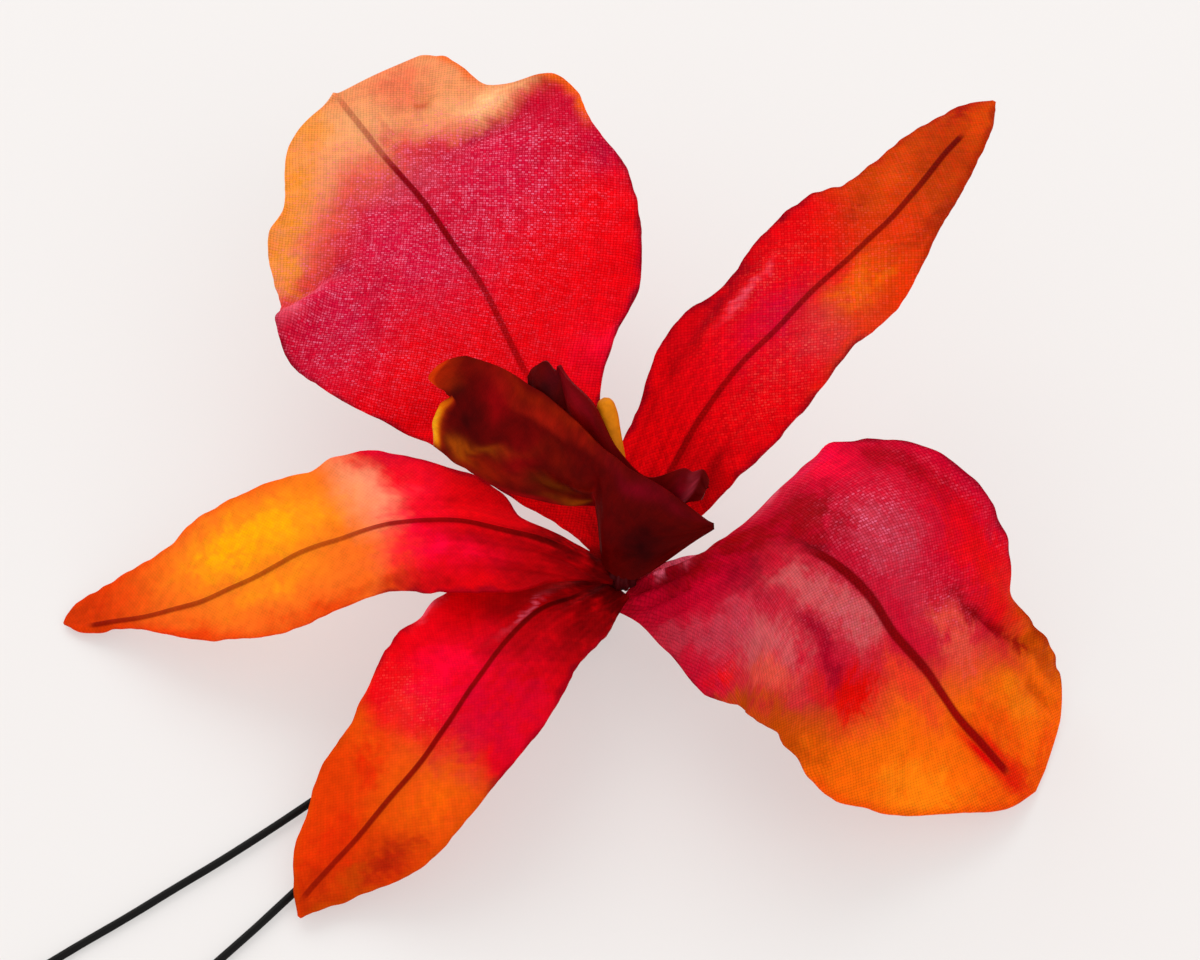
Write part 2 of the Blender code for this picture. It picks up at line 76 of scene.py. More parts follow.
def ripple(x, y, seed):
    return np.array([noise.noise((a, b, seed)) for a, b in zip(x, y)])


def between(stations, share):
    # a cubic through (share, value) stations that never overshoots them
    x, y = (np.array([s[k] for s in stations], float) for k in (0, 1))
    step = np.diff(x)
    slope = np.diff(y) / step
    tangent = np.zeros(len(x))
    for i in range(1, len(x) - 1):
        if slope[i - 1] * slope[i] > 0:
            tangent[i] = 2 * slope[i - 1] * slope[i] / (slope[i - 1] + slope[i])
    tangent[0], tangent[-1] = slope[0], slope[-1]
    share = np.clip(np.asarray(share, float), x[0], x[-1])
    i = np.clip(np.searchsorted(x, share, side="right") - 1, 0, len(step) - 1)
    t = (share - x[i]) / step[i]
    return (y[i] * (1 + 2 * t) * (1 - t) ** 2 + tangent[i] * step[i] * t * (1 - t) ** 2
            + y[i + 1] * t ** 2 * (3 - 2 * t) - tangent[i + 1] * step[i] * t ** 2 * (1 - t))


def runsOf(points):
    # how far along its line each point lies
    return np.concatenate([[0], np.cumsum(np.linalg.norm(np.diff(points, axis=0), axis=1))])


def pointsAt(at, runs, points):
    return np.stack([np.interp(at, runs, points[:, k]) for k in range(3)], axis=-1)


def curveThrough(points, count):
    # evenly spaced points on a smooth curve through the given ones, and the curve's length
    p = np.array(points, float)
    p = np.vstack([2 * p[0] - p[1], p, 2 * p[-1] - p[-2]])
    fine = []
    for a, b, c, d in zip(p, p[1:], p[2:], p[3:]):
        for t in np.linspace(0, 1, 40, endpoint=False):
            fine.append(0.5 * (2 * b + (c - a) * t + (2 * a - 5 * b + 4 * c - d) * t ** 2
                               + (3 * b - a - 3 * c + d) * t ** 3))
    fine = np.array(fine + [p[-2]])
    runs = runsOf(fine)
    return pointsAt(np.linspace(0, runs[-1], count), runs, fine), runs[-1]


# Shader helpers: sockets are linked, numbers are set
def feed(tree, socket, value):
    if isinstance(value, bpy.types.NodeSocket):
        tree.links.new(value, socket)
    else:
        socket.default_value = value


def addNode(tree, kind, inputs, **settings):
    # inputs are (socket's name or number, value)
    made = tree.nodes.new("ShaderNode" + kind)
    for name, value in settings.items():
        setattr(made, name, value)
    for place, value in inputs:
        feed(tree, made.inputs[place], value)
    return made.outputs


def calc(tree, operation, *values):
    return addNode(tree, "Math", enumerate(values), operation=operation)[0]


def ramp(tree, value, low, high, outLow=0.0, outHigh=1.0):
    inputs = [("Value", value), ("From Min", low), ("From Max", high), ("To Min", outLow), ("To Max", outHigh)]
    return addNode(tree, "MapRange", inputs, interpolation_type="SMOOTHSTEP")[0]


def blendColours(tree, share, one, two, how="MIX"):
    return addNode(tree, "Mix", [(0, share), (6, one), (7, two)], data_type="RGBA", blend_type=how)[2]


def blendValues(tree, share, one, two):
    return addNode(tree, "Mix", [(0, share), (2, one), (3, two)])[0]


def clouds(tree, place, scale, detail=2.0, output="Fac"):
    return addNode(tree, "TexNoise", [("Vector", place), ("Scale", scale), ("Detail", detail)])[output]


def grey(tree, value):
    return addNode(tree, "CombineColor", [(0, value), (1, value), (2, value)])[0]


def tintColour(tree, colour, wireShadowAmount):
    return blendColours(tree, 1.0, colour, (*linear(wireShadowAmount), 1), "MULTIPLY")


def addBump(tree, shader, height, strength, distance):
    bump = addNode(tree, "Bump", [("Strength", strength), ("Distance", distance), ("Height", height)])
    feed(tree, shader.inputs["Normal"], bump[0])


def newFinish(name):
    finish = bpy.data.materials.new(name)
    finish.use_nodes = True
    return finish, finish.node_tree, finish.node_tree.nodes["Principled BSDF"]


# Camera, light and floor
camera = {"offset": (-2.2, -185.6, 235.9), "tilt": 40, "lens": 90, "sensor": 36, "near": 0.01}
light = {"room": (1.0, 0.985, 0.965), "overhead": 0.84, "horizon": 1.5, "overheadFrom": 0.55,
         "window": ((-0.25, 0.75, 0.9), 1.3, 7.0),      # a lamp's place, size and power
         "fill": ((0.5, -0.6, 0.7), 0.9, 2.0)}
floorPaper = {"size": 8, "colour": (0.37, 0.355, 0.355, 1), "rough": 0.9, "shine": 0.1,
              "glow": 0.45}     # a little glow keeps the shadows pale


def addCamera():
    place = (hub + np.array(camera["offset"])) * mm
    bpy.ops.object.camera_add(location=place, rotation=(math.radians(camera["tilt"]), 0, 0))
    made = bpy.context.object
    made.data.lens, made.data.sensor_width = camera["lens"], camera["sensor"]
    made.data.clip_start = camera["near"]
    bpy.context.scene.camera = made


def addLamp(name):
    place, size, power = light[name]
    aim = Vector(hub * mm) - Vector(place)
    bpy.ops.object.light_add(type="AREA", location=place, rotation=aim.to_track_quat("-Z", "Y").to_euler())
    lamp = bpy.context.object
    lamp.name = name
    lamp.data.shape, lamp.data.size, lamp.data.energy = "DISK", size, power
    lamp.data.color = light["room"]


def addRoom():
    world = bpy.data.worlds.new("softRoom")
    bpy.context.scene.world = world
    world.use_nodes = True
    tree = world.node_tree
    back = tree.nodes["Background"]
    back.inputs["Color"].default_value = (*light["room"], 1)
    level = addNode(tree, "SeparateXYZ", [(0, addNode(tree, "TexCoord", [])["Generated"])])["Z"]
    feed(tree, back.inputs["Strength"], ramp(tree, level, 0.0, light["overheadFrom"], light["horizon"],
                                             light["overhead"]))
    bpy.context.scene.view_settings.view_transform = "Standard"
    addLamp("window")
    addLamp("fill")


def addFloor():
    bpy.ops.mesh.primitive_plane_add(size=floorPaper["size"])
    floor = bpy.context.object
    floor.name = "paleFloor"
    finish, tree, shader = newFinish("palePaper")
    for socket, value in (("Base Color", floorPaper["colour"]), ("Roughness", floorPaper["rough"]),
                          ("Specular IOR Level", floorPaper["shine"]), ("Emission Color", (*light["room"], 1)),
                          ("Emission Strength", floorPaper["glow"])):
        shader.inputs[socket].default_value = value
    floor.data.materials.append(finish)


addCamera()
addRoom()
addFloor()
print("camera, light and floor made")

# The weave. crown is how round a thread is, dip how far it sinks under its neighbour; the other values shape
# painted sheen, bright flecks where a thread floats on top.
weave = {"wander": 0.16, "crown": 0.6, "dip": 0.5, "seeds": (3.7, 91.3), "warpSheen": (0.3, 0.9, 0.0, 1.0),
         "weftSheen": (0.4, 0.95, 0.0, 0.6), "sheenEnd": 0.3, "sheenChance": (0.0, 0.75, 0.1, 1.1),
         "sheenStreakShape": (0.9, 2.8, 1.0), "sheenStreak": (0.38, 0.6, 0.3, 1.25)}


def weaveGroup():
    # plain weave on a flat map in millimetres: a warp thread on top in one cell and a weft thread in the next
    tree = bpy.data.node_groups.new("plainWeave", "ShaderNodeTree")
    for label, value in (("Flat", None), ("Warp", 3.1), ("Weft", 3.7), ("Turn", 0.75), ("Wander", 0.5)):
        kind = "NodeSocketVector" if value is None else "NodeSocketFloat"
        socket = tree.interface.new_socket(name=label, in_out="INPUT", socket_type=kind)
        if value is not None:
            socket.default_value = value
    for label in ("Height", "Tone", "Sheen"):
        tree.interface.new_socket(name=label, in_out="OUTPUT", socket_type="NodeSocketFloat")
    given, put = tree.nodes.new("NodeGroupInput").outputs, tree.nodes.new("NodeGroupOutput").inputs
    turned = addNode(tree, "VectorRotate", [("Vector", given["Flat"]), ("Angle", given["Turn"])],
                     rotation_type="Z_AXIS")[0]
    place = addNode(tree, "SeparateXYZ", [(0, turned)])
    drift = addNode(tree, "SeparateXYZ", [(0, clouds(tree, given["Flat"], weave["wander"], 4.0, "Color"))])
    profile, number = [], []
    for axis, count in (("X", "Warp"), ("Y", "Weft")):
        along = calc(tree, "MULTIPLY_ADD", drift[axis], given["Wander"], place[axis])
        thread = calc(tree, "MULTIPLY", along, given[count])
        number.append(calc(tree, "FLOOR", thread))
        part = calc(tree, "SUBTRACT", thread, number[-1])
        profile.append(calc(tree, "SINE", calc(tree, "MULTIPLY", part, math.pi)))
    over = calc(tree, "FLOORED_MODULO", calc(tree, "ADD", *number), 2.0)
    heights, tones = [], []
    for own, other in ((0, 1), (1, 0)):
        rounded = calc(tree, "POWER", calc(tree, "MAXIMUM", profile[own], 0.0), weave["crown"])
        sunk = calc(tree, "MULTIPLY_ADD", profile[other], weave["dip"], 1 - weave["dip"])
        heights.append(calc(tree, "MULTIPLY", rounded, sunk))
        tones.append(addNode(tree, "TexWhiteNoise", [], noise_dimensions="1D")["Value"])
        feed(tree, tones[-1].node.inputs["W"], calc(tree, "ADD", number[own], weave["seeds"][own]))
    feed(tree, put["Height"], blendValues(tree, over, *heights))
    feed(tree, put["Tone"], blendValues(tree, over, *tones))
    cell = addNode(tree, "CombineXYZ", enumerate(number))[0]
    chance = addNode(tree, "TexWhiteNoise", [], noise_dimensions="2D")["Value"]
    feed(tree, chance.node.inputs["Vector"], cell)
    # painted sheen: a bright fleck along each thread where it floats on top, thinned by chance and in streaks
    sheenDashes = [calc(tree, "MULTIPLY", ramp(tree, profile[own], *weave[size]),
                   ramp(tree, profile[other], 0.0, weave["sheenEnd"]))
              for own, other, size in ((0, 1, "weftSheen"), (1, 0, "warpSheen"))]
    sheenDash = calc(tree, "MULTIPLY", blendValues(tree, over, *sheenDashes), ramp(tree, chance, *weave["sheenChance"]))
    stretched = addNode(tree, "VectorMath", [(0, turned), (1, weave["sheenStreakShape"])], operation="MULTIPLY")[0]
    sheenStreak = ramp(tree, clouds(tree, stretched, 1.0), *weave["sheenStreak"])
    feed(tree, put["Sheen"], calc(tree, "MULTIPLY", sheenDash, sheenStreak))
    return tree


plainWeave = weaveGroup()

# Cloth finishes: how much the threads, the painted shade between them and the mottle change the dye's tone, and
# so on, with the colours of the painted sheen flecks and of the painted shadow over the wire
pattern = {"mottle": 0.9, "sheenPatch": 0.55, "stain": (255, 140, 140), "bump": 0.00009, "roughGap": 0.12,
           "gapShadeHeights": (0.1, 0.75), "spread": (0.3, 0.7), "stainTones": (0.45, 0.95),
           "stainHeights": (0.15, 0.7, 0.8, 0.0), "sheenPatchLevels": (0.35, 1.0),
           "sheenFleckTones": (0.0, 0.9, 0.5, 1.0), "ribSoft": (0.4, 1.0, 1.0, 0.0), "roughHeights": (0.1, 0.9)}
woven = {"turn": 0.79, "warp": 3.1, "weft": 3.7, "gapShade": 0.1, "mottle": 0.06, "sheenFleck": (255, 124, 110),
         "wireShadow": (150, 30, 30), "rough": 0.6, "shine": 0.03, "through": 0.36}
stiffened = {"turn": 0.6, "warp": 3.4, "weft": 3.8, "threads": 0.06, "gapShade": 0.06, "stain": 0.1,
             "wireShadow": (255, 255, 255), "rough": 0.5, "shine": 0.03, "relief": 0.12}
clothLooks = {
    "petalCloth": {**woven, "turn": -0.56, "threads": 0.16, "gapShade": 0.26, "strength": 1.2, "stain": 0.14,
                   "sheenFleck": (250, 124, 164), "wireShadow": (170, 30, 70), "relief": 0.8},
    "sepalCloth": {**woven, "threads": 0.24, "gapShade": 0.2, "strength": 1.1, "stain": 0.36, "relief": 0.6},
    "outerCloth": {**woven, "threads": 0.08, "mottle": 0.07, "strength": 1.12, "stain": 0.08, "relief": 0.35},
    "lipCloth": {**stiffened, "mottle": 0.16, "strength": 0.82, "sheenFleck": (200, 110, 70), "through": 0.1},
    "throatCloth": {**stiffened, "mottle": 0.14, "strength": 0.95, "sheenFleck": (170, 60, 80), "shine": 0.04,
                    "through": 0.08},
}


def clothFinish(name, look):
    # dye from the piece's own attributes, with painted highlights and shade among it; threads, painted shade
    # between them and painted sheen flecks from the weave; a painted shadow line over the wire; light let through
    # from behind
    finish, tree, shader = newFinish(name)
    flat = addNode(tree, "UVMap", [], uv_map="flat")[0]
    threads = addNode(tree, "Group", [], node_tree=plainWeave)
    feed(tree, threads[0].node.inputs["Flat"], flat)
    for key in ("turn", "warp", "weft"):
        feed(tree, threads[0].node.inputs[key.capitalize()], look[key])
    height, tone, sheenDash = (threads[key] for key in ("Height", "Tone", "Sheen"))
    tint = addNode(tree, "Attribute", [], attribute_name="tint")["Color"]
    glint, rib, wireShadow = (addNode(tree, "Attribute", [], attribute_name=key)["Fac"]
                          for key in ("glint", "rib", "wireShadow"))
    mottle = clouds(tree, flat, pattern["mottle"], 4.0)
    shade = calc(tree, "MULTIPLY_ADD", tone, look["threads"], 1 - look["threads"] / 2)
    # painted shade: darker in the low places between the threads
    shade = calc(tree, "MULTIPLY", shade, ramp(tree, height, *pattern["gapShadeHeights"], 1 - look["gapShade"], 1.0))
    mottled = ramp(tree, mottle, *pattern["spread"], 1 - look["mottle"], 1 + look["mottle"])
    shade = calc(tree, "MULTIPLY", shade, mottled)
    shade = calc(tree, "MULTIPLY", shade, look["strength"])
    toned = blendColours(tree, 1.0, tint, grey(tree, shade), "MULTIPLY")
    stain = calc(tree, "MAXIMUM", ramp(tree, tone, *pattern["stainTones"]),
                 ramp(tree, height, *pattern["stainHeights"]))
    stain = calc(tree, "MULTIPLY", stain, look["stain"])
    toned = blendColours(tree, stain, toned, tintColour(tree, toned, pattern["stain"]))
    # painted sheen: bright flecks on the floating threads, where the glint attribute and a cloudy patch allow
    sheenPatch = ramp(tree, clouds(tree, flat, pattern["sheenPatch"], 3.0), *pattern["spread"], *pattern["sheenPatchLevels"])
    sheenFleck = calc(tree, "MULTIPLY", sheenDash, ramp(tree, tone, *pattern["sheenFleckTones"]))
    sheenFleck = calc(tree, "MULTIPLY", sheenFleck, calc(tree, "MULTIPLY", glint, sheenPatch))
    toned = blendColours(tree, sheenFleck, toned, (*linear(look["sheenFleck"]), 1))
    # painted shadow of the wire showing through the cloth, as a darker line along the rib
    line = calc(tree, "MULTIPLY", ramp(tree, calc(tree, "ABSOLUTE", rib), *pattern["ribSoft"]), wireShadow)
    toned = blendColours(tree, line, toned, tintColour(tree, toned, look["wireShadow"]))
    feed(tree, shader.inputs["Base Color"], toned)
    rough = ramp(tree, height, *pattern["roughHeights"], look["rough"] + pattern["roughGap"], look["rough"])
    feed(tree, shader.inputs["Roughness"], rough)
    shader.inputs["Specular IOR Level"].default_value = look["shine"]
    addBump(tree, shader, height, look["relief"], pattern["bump"])
    through = addNode(tree, "BsdfTranslucent", [("Color", toned)])[0]
    both = addNode(tree, "MixShader", [(0, look["through"]), (1, shader.outputs[0]), (2, through)])[0]
    feed(tree, tree.nodes["Material Output"].inputs["Surface"], both)
    return finish


finishes = {name: clothFinish(name, look) for name, look in clothLooks.items()}
print("cloth finishes made")


# Plain finishes: a colour with a fine and a wide speck, and a bump from the fine one
def plainFinish(name, colour, rough, shine, speck=0.15, speckScale=900.0, relief=0.25, distance=0.00005):
    finish, tree, shader = newFinish(name)
    place = addNode(tree, "TexCoord", [])["Object"]
    grain, wide = (clouds(tree, place, scale, 3.0) for scale in (speckScale, speckScale * 0.12))
    specks = [ramp(tree, value, 0.3, 0.7, 1 - speck, 1 + speck) for value in (grain, wide)]
    shade = calc(tree, "MULTIPLY", *specks)
    colour = blendColours(tree, 1.0, (*linear(colour), 1), grey(tree, shade), "MULTIPLY")
    feed(tree, shader.inputs["Base Color"], colour)
    feed(tree, shader.inputs["Roughness"], ramp(tree, wide, 0.3, 0.7, rough - 0.06, rough + 0.08))
    shader.inputs["Specular IOR Level"].default_value = shine
    addBump(tree, shader, grain, relief, distance)
    return finish


# Cloth: a flat grid is laid on a surface, dyed and painted with highlights and shade, creased and given its
# thickness
def deselect():
    for obj in bpy.context.selected_objects:
        obj.select_set(False)


def clothGrid(name, columns, rows):
    # the sheet, and each point's place on it: from 1 to -1 across, and from 0 to 1 along
    deselect()
    bpy.ops.mesh.primitive_grid_add(x_subdivisions=columns, y_subdivisions=rows, size=1, calc_uvs=True)
    sheet = bpy.context.object
    sheet.name = sheet.data.name = name
    sheet.data.uv_layers[0].name = "flat"
    spots = np.array([v.co for v in sheet.data.vertices])
    return sheet, -2 * spots[:, 0], spots[:, 1] + 0.5


def moveCloth(sheet, places, flat, values):
    # places and flat are in millimetres; values are the attributes that the finish reads
    mesh = sheet.data
    mesh.vertices.foreach_set("co", ((places + hub) * mm).astype(np.float32).ravel())
    corner = np.array([loop.vertex_index for loop in mesh.loops])
    mesh.uv_layers["flat"].data.foreach_set("uv", flat[corner].astype(np.float32).ravel())
    for key, numbers in values.items():
        if numbers.ndim == 2:
            layer = mesh.color_attributes.new(key, "FLOAT_COLOR", "POINT")
            full = np.concatenate([numbers, np.ones((len(numbers), 1))], axis=1)
            layer.data.foreach_set("color", full.astype(np.float32).ravel())
        else:
            layer = mesh.attributes.new(key, "FLOAT", "POINT")
            layer.data.foreach_set("value", numbers.astype(np.float32))
    mesh.update()


def mergePoints(distance, faceOut=False):
    # joins the active piece's double points
    bpy.ops.object.mode_set(mode="EDIT")
    bpy.ops.mesh.select_all(action="SELECT")
    bpy.ops.mesh.remove_doubles(threshold=distance)
    if faceOut:
        bpy.ops.mesh.normals_make_consistent(inside=False)
    bpy.ops.object.mode_set(mode="OBJECT")


def applyModifier(piece, kind, **settings):
    deselect()
    piece.select_set(True)
    bpy.context.view_layer.objects.active = piece
    bpy.ops.object.modifier_add(type=kind)
    for name, value in settings.items():
        setattr(piece.modifiers[0], name, value)
    bpy.ops.object.modifier_apply(modifier=piece.modifiers[0].name)


def closeCloth(sheet, thickness, cloth):
    mergePoints(5e-7)
    applyModifier(sheet, "SOLIDIFY", thickness=thickness * mm, offset=0)
    bpy.ops.object.shade_smooth_by_angle(angle=math.radians(50))
    sheet.data.materials.append(finishes[cloth])


def mark(x, y, spots):
    # how much of each spot, (x, y, reach in x, reach in y, turn, strength), lies at these places
    total = []
    for px, py, reachX, reachY, turn, strength in spots:
        c, s = math.cos(math.radians(turn)), math.sin(math.radians(turn))
        u, v = (x - px) * c + (y - py) * s, (y - py) * c - (x - px) * s
        total.append(strength * np.exp(-(u / reachX) ** 2 - (v / reachY) ** 2))
    return total


def paint(colour, tint, amount):
    return colour + (linear(tints[tint]) - colour) * np.clip(amount, 0, 1)[:, None]


# Some washes and rims are painted light, highlights on ridges and shade in creases, as noted beside them.
# The blades: rib, outline, fold, ruffle and wire follow the solids, trimmed a little to the photo; the rest is
# the dye, painted highlights, sheen and shade, and the fine shape.
# A share is 0 at the hub and 1 at the tip; across is millimetres from the rib, with the left side positive.
# fold: (share, left slope, right slope, curl). ruffle: (waves, height, phase). back: how far the left and the
# right base corner lie behind the hub. wireShows, wireShadowDepth, wireShadowWidth: where the wire shows through
# the cloth, and how dark and how wide the painted shadow line over the wire is.
# fronts: a dye that starts past a line of (across, share), with its softness and strength.
# washes: (share, across, reach along, reach across, turn, strength, dye); beside: the same, not ragged.
# rims: (from share, to share, side, depth, strength, dye). crisp, veins: how sharp and how veined the dye is.
# dents: (share, across, reach along, reach across, turn, height); glints and calm: the same, with a strength;
# glints are where the painted sheen flecks show.
# waves, edgeWaves: (height, pitch). pleats: (pitch, height, reach). tuck: how far the base runs into the hub.
petalUpperLeft = {
    "node": "petal_upper_left", "cloth": "petalCloth", "slot": "petal_cloth", "grid": (116, 176), "tuck": 0.8,
    "rib": [(-1.0, 2.0, -0.1), (-4.2, 9.0, 2.4), (-9.8, 22.4, 6.8), (-15.5, 34.5, 9.2), (-22.0, 45.3, 11.0),
        (-27.4, 53.4, 12.0), (-30.4, 58.3, 12.4)],
    "left": [(0, 1.2), (0.06, 2.6), (0.1, 4.0), (0.15, 6.6), (0.2, 9.5), (0.27, 12.0), (0.35, 16.3),
        (0.4, 19.5), (0.45, 21.1), (0.55, 22.4), (0.59, 22.3), (0.62, 21.0), (0.65, 20.1), (0.7, 19.3),
        (0.75, 18.2), (0.79, 16.7), (0.82, 14.1), (0.86, 12.4), (0.9, 10.8), (0.93, 9.2), (0.96, 5.8),
        (0.98, 2.2), (1, 0)],
    "right": [(0, 1.2), (0.1, 3.0), (0.2, 4.6), (0.25, 5.3), (0.28, 6.2), (0.316, 8.0), (0.356, 10.2),
        (0.38, 12.2), (0.41, 14.3), (0.45, 15.8), (0.51, 17.5), (0.56, 18.8), (0.617, 19.7), (0.68, 19.1),
        (0.77, 20.2), (0.8, 19.6), (0.822, 18.3), (0.836, 15.5), (0.854, 12.9), (0.88, 12.1), (0.93, 11.0),
        (0.965, 10.3), (0.985, 9.4), (1, 0)],
    "fold": [(0, 0, 0, 0), (0.3, -6, 6, 0.3), (1, -6, 6, 0.3)], "ruffle": (5.0, 0.8, 0.2), "back": (0, 0),
    "wire": [(0.04, 0), (0.4, 0.6), (0.5, 0.6), (0.7, 0.9), (0.85, 1.2), (0.95, 1.2)], "ground": "red",
    "wireShows": (0.3, 0.985), "wireShadowDepth": [(0, 0.6), (0.5, 0.75), (0.6, 1), (0.78, 1), (0.84, 0.6), (1, 0.35)],
    "wireShadowWidth": 0.42, "end": 0.986, "veins": 0.1, "crisp": 0.3, "pleats": (2.2, 0.22, 0.22), "fray": 0.05,
    "fronts": [
        ([(-20, 0.6), (-15, 0.66), (-10, 0.62), (-5, 0.59), (0, 0.52), (5, 0.5), (10, 0.52), (15, 0.45),
          (22, 0.4)], 0.1, 0.95, "crimson"),
        ([(-3, 1.3), (-1, 0.88), (0, 0.85), (5, 0.82), (10, 0.77), (14, 0.73), (17, 0.69), (20, 0.66)],
         0.065, 0.97, "peach"),
        ([(-20, 0.84), (-16, 0.8), (-10, 0.79), (-5, 0.795), (-1, 0.84), (1, 1.3)], 0.025, 0.97, "peach")],
    "washes": [(0.33, -8, 3.5, 4, 0, 0.6, "hotPink"), (0.0, 0, 4, 5, 0, 0.8, "darkRed"),
        (0.64, -18, 3, 2, 0, 0.6, "magenta"), (0.6, 17, 6, 5, 0, 0.5, "cerise"),
        (0.66, 6, 7, 5, 0, 0.4, "cerise"), (0.7, -8, 6, 6, 0, 0.4, "cerise"),
        (0.76, 2, 3.4, 6, 0, 0.5, "rose"), (0.745, 11, 2, 2.4, -30, 0.5, "salmon"),
        (0.81, 4, 2.6, 6, 20, 0.5, "salmon"), (0.8, 3, 2.6, 5, 14, 0.4, "salmon"),
        (0.73, 13, 4.5, 2.2, -16, 0.6, "salmon"), (0.672, 16.2, 1.3, 3.4, 18, 0.8, "salmon"),
        # painted light: the pink wash at 0.618 is a highlight on the left fold's ridge, the magenta at 0.658
        # shade in the dimple below it
        (0.618, 18.4, 0.9, 4.6, 23, 0.75, "pink"), (0.658, 12.8, 1.4, 1.3, 0, 0.9, "magenta"),
        (0.645, 16.8, 0.6, 3.2, 23, 0.5, "scarlet"), (0.72, 17.6, 4.5, 1.8, -16, 0.95, "gold"),
        (0.8, 14.2, 4, 2.2, -34, 0.95, "gold"), (0.87, 10.6, 4, 2.2, -36, 0.9, "gold"),
        # the cream wash at 0.82 is a painted highlight on the ridge of the crease near the tip
        (0.94, 5.8, 3.5, 2.2, -48, 0.75, "gold"), (0.82, -11.5, 1.6, 4.4, 4, 0.95, "cream"),
        (0.8, -7, 1.6, 3, 0, 0.5, "salmon"), (0.815, -17.8, 1.8, 1.8, 0, 0.6, "ochre"),
        # the magenta wash at 0.776 is painted shade in the valley of that crease
        (0.776, -8.5, 0.8, 4.4, 4, 0.9, "magenta"), (0.887, -6.5, 1.2, 1.2, 0, 0.95, "brownOrange"),
        (0.94, -4, 3, 4, 0, 0.35, "salmon"), (0.95, -5, 4, 3, 0, 0.4, "salmon"),
        (0.89, 2, 5, 4, 0, 0.5, "paleOrange"), (0.86, -8, 3, 3, 0, 0.4, "paleOrange")],
    "rims": [(0.67, 0.84, -1, 1.4, 0.9, "orange"), (0.84, 0.98, -1, 1.2, 0.75, "orange"),
        (0.66, 0.98, 1, 1.4, 0.7, "gold"), (0.42, 0.6, 1, 1.8, 0.5, "crimson"),
        (0.28, 0.5, -1, 1.2, 0.5, "crimson"), (0.1, 0.63, 1, 0.5, 0.8, "wine"),
        (0.12, 0.66, -1, 0.5, 0.8, "wine")],
    "dents": [(0.605, 18.6, 1.5, 5.0, 23, 1.5), (0.648, 17.6, 1.4, 4.6, 23, -1.5),
        (0.66, 12.6, 1.8, 1.6, 0, -0.9), (0.805, -13, 1.4, 6.0, 0, 1.1), (0.776, -11, 1.2, 6.5, 0, -0.7),
        (0.887, -6.5, 1.4, 1.4, 0, -0.7), (0.94, -3, 3, 3, 0, 0.6), (0.74, 8, 2.0, 4.0, 30, -0.4),
        (0.69, 6, 6, 2, 20, 0.3), (0.86, -10, 2, 2, 0, -0.4), (0.34, -6, 3.0, 1.2, 40, 0.4),
        (0.5, 10, 9, 5, 0, 0.5), (0.52, -10, 8, 5, 0, -0.4), (0.8, 14.5, 3, 1.6, -40, -0.5)],
    "glints": [(0.67, 3, 9, 12, 0, 1.3), (0.69, -9, 7, 9, 0, 1.2), (0.56, 17, 8, 6, 0, 1.2),
        (0.45, 5, 8, 14, 0, 0.3), (0.8, 0, 8, 12, 0, 0.6)],
    "waves": (0.25, 0.14), "edgeWaves": (0.35, 0.4),
}
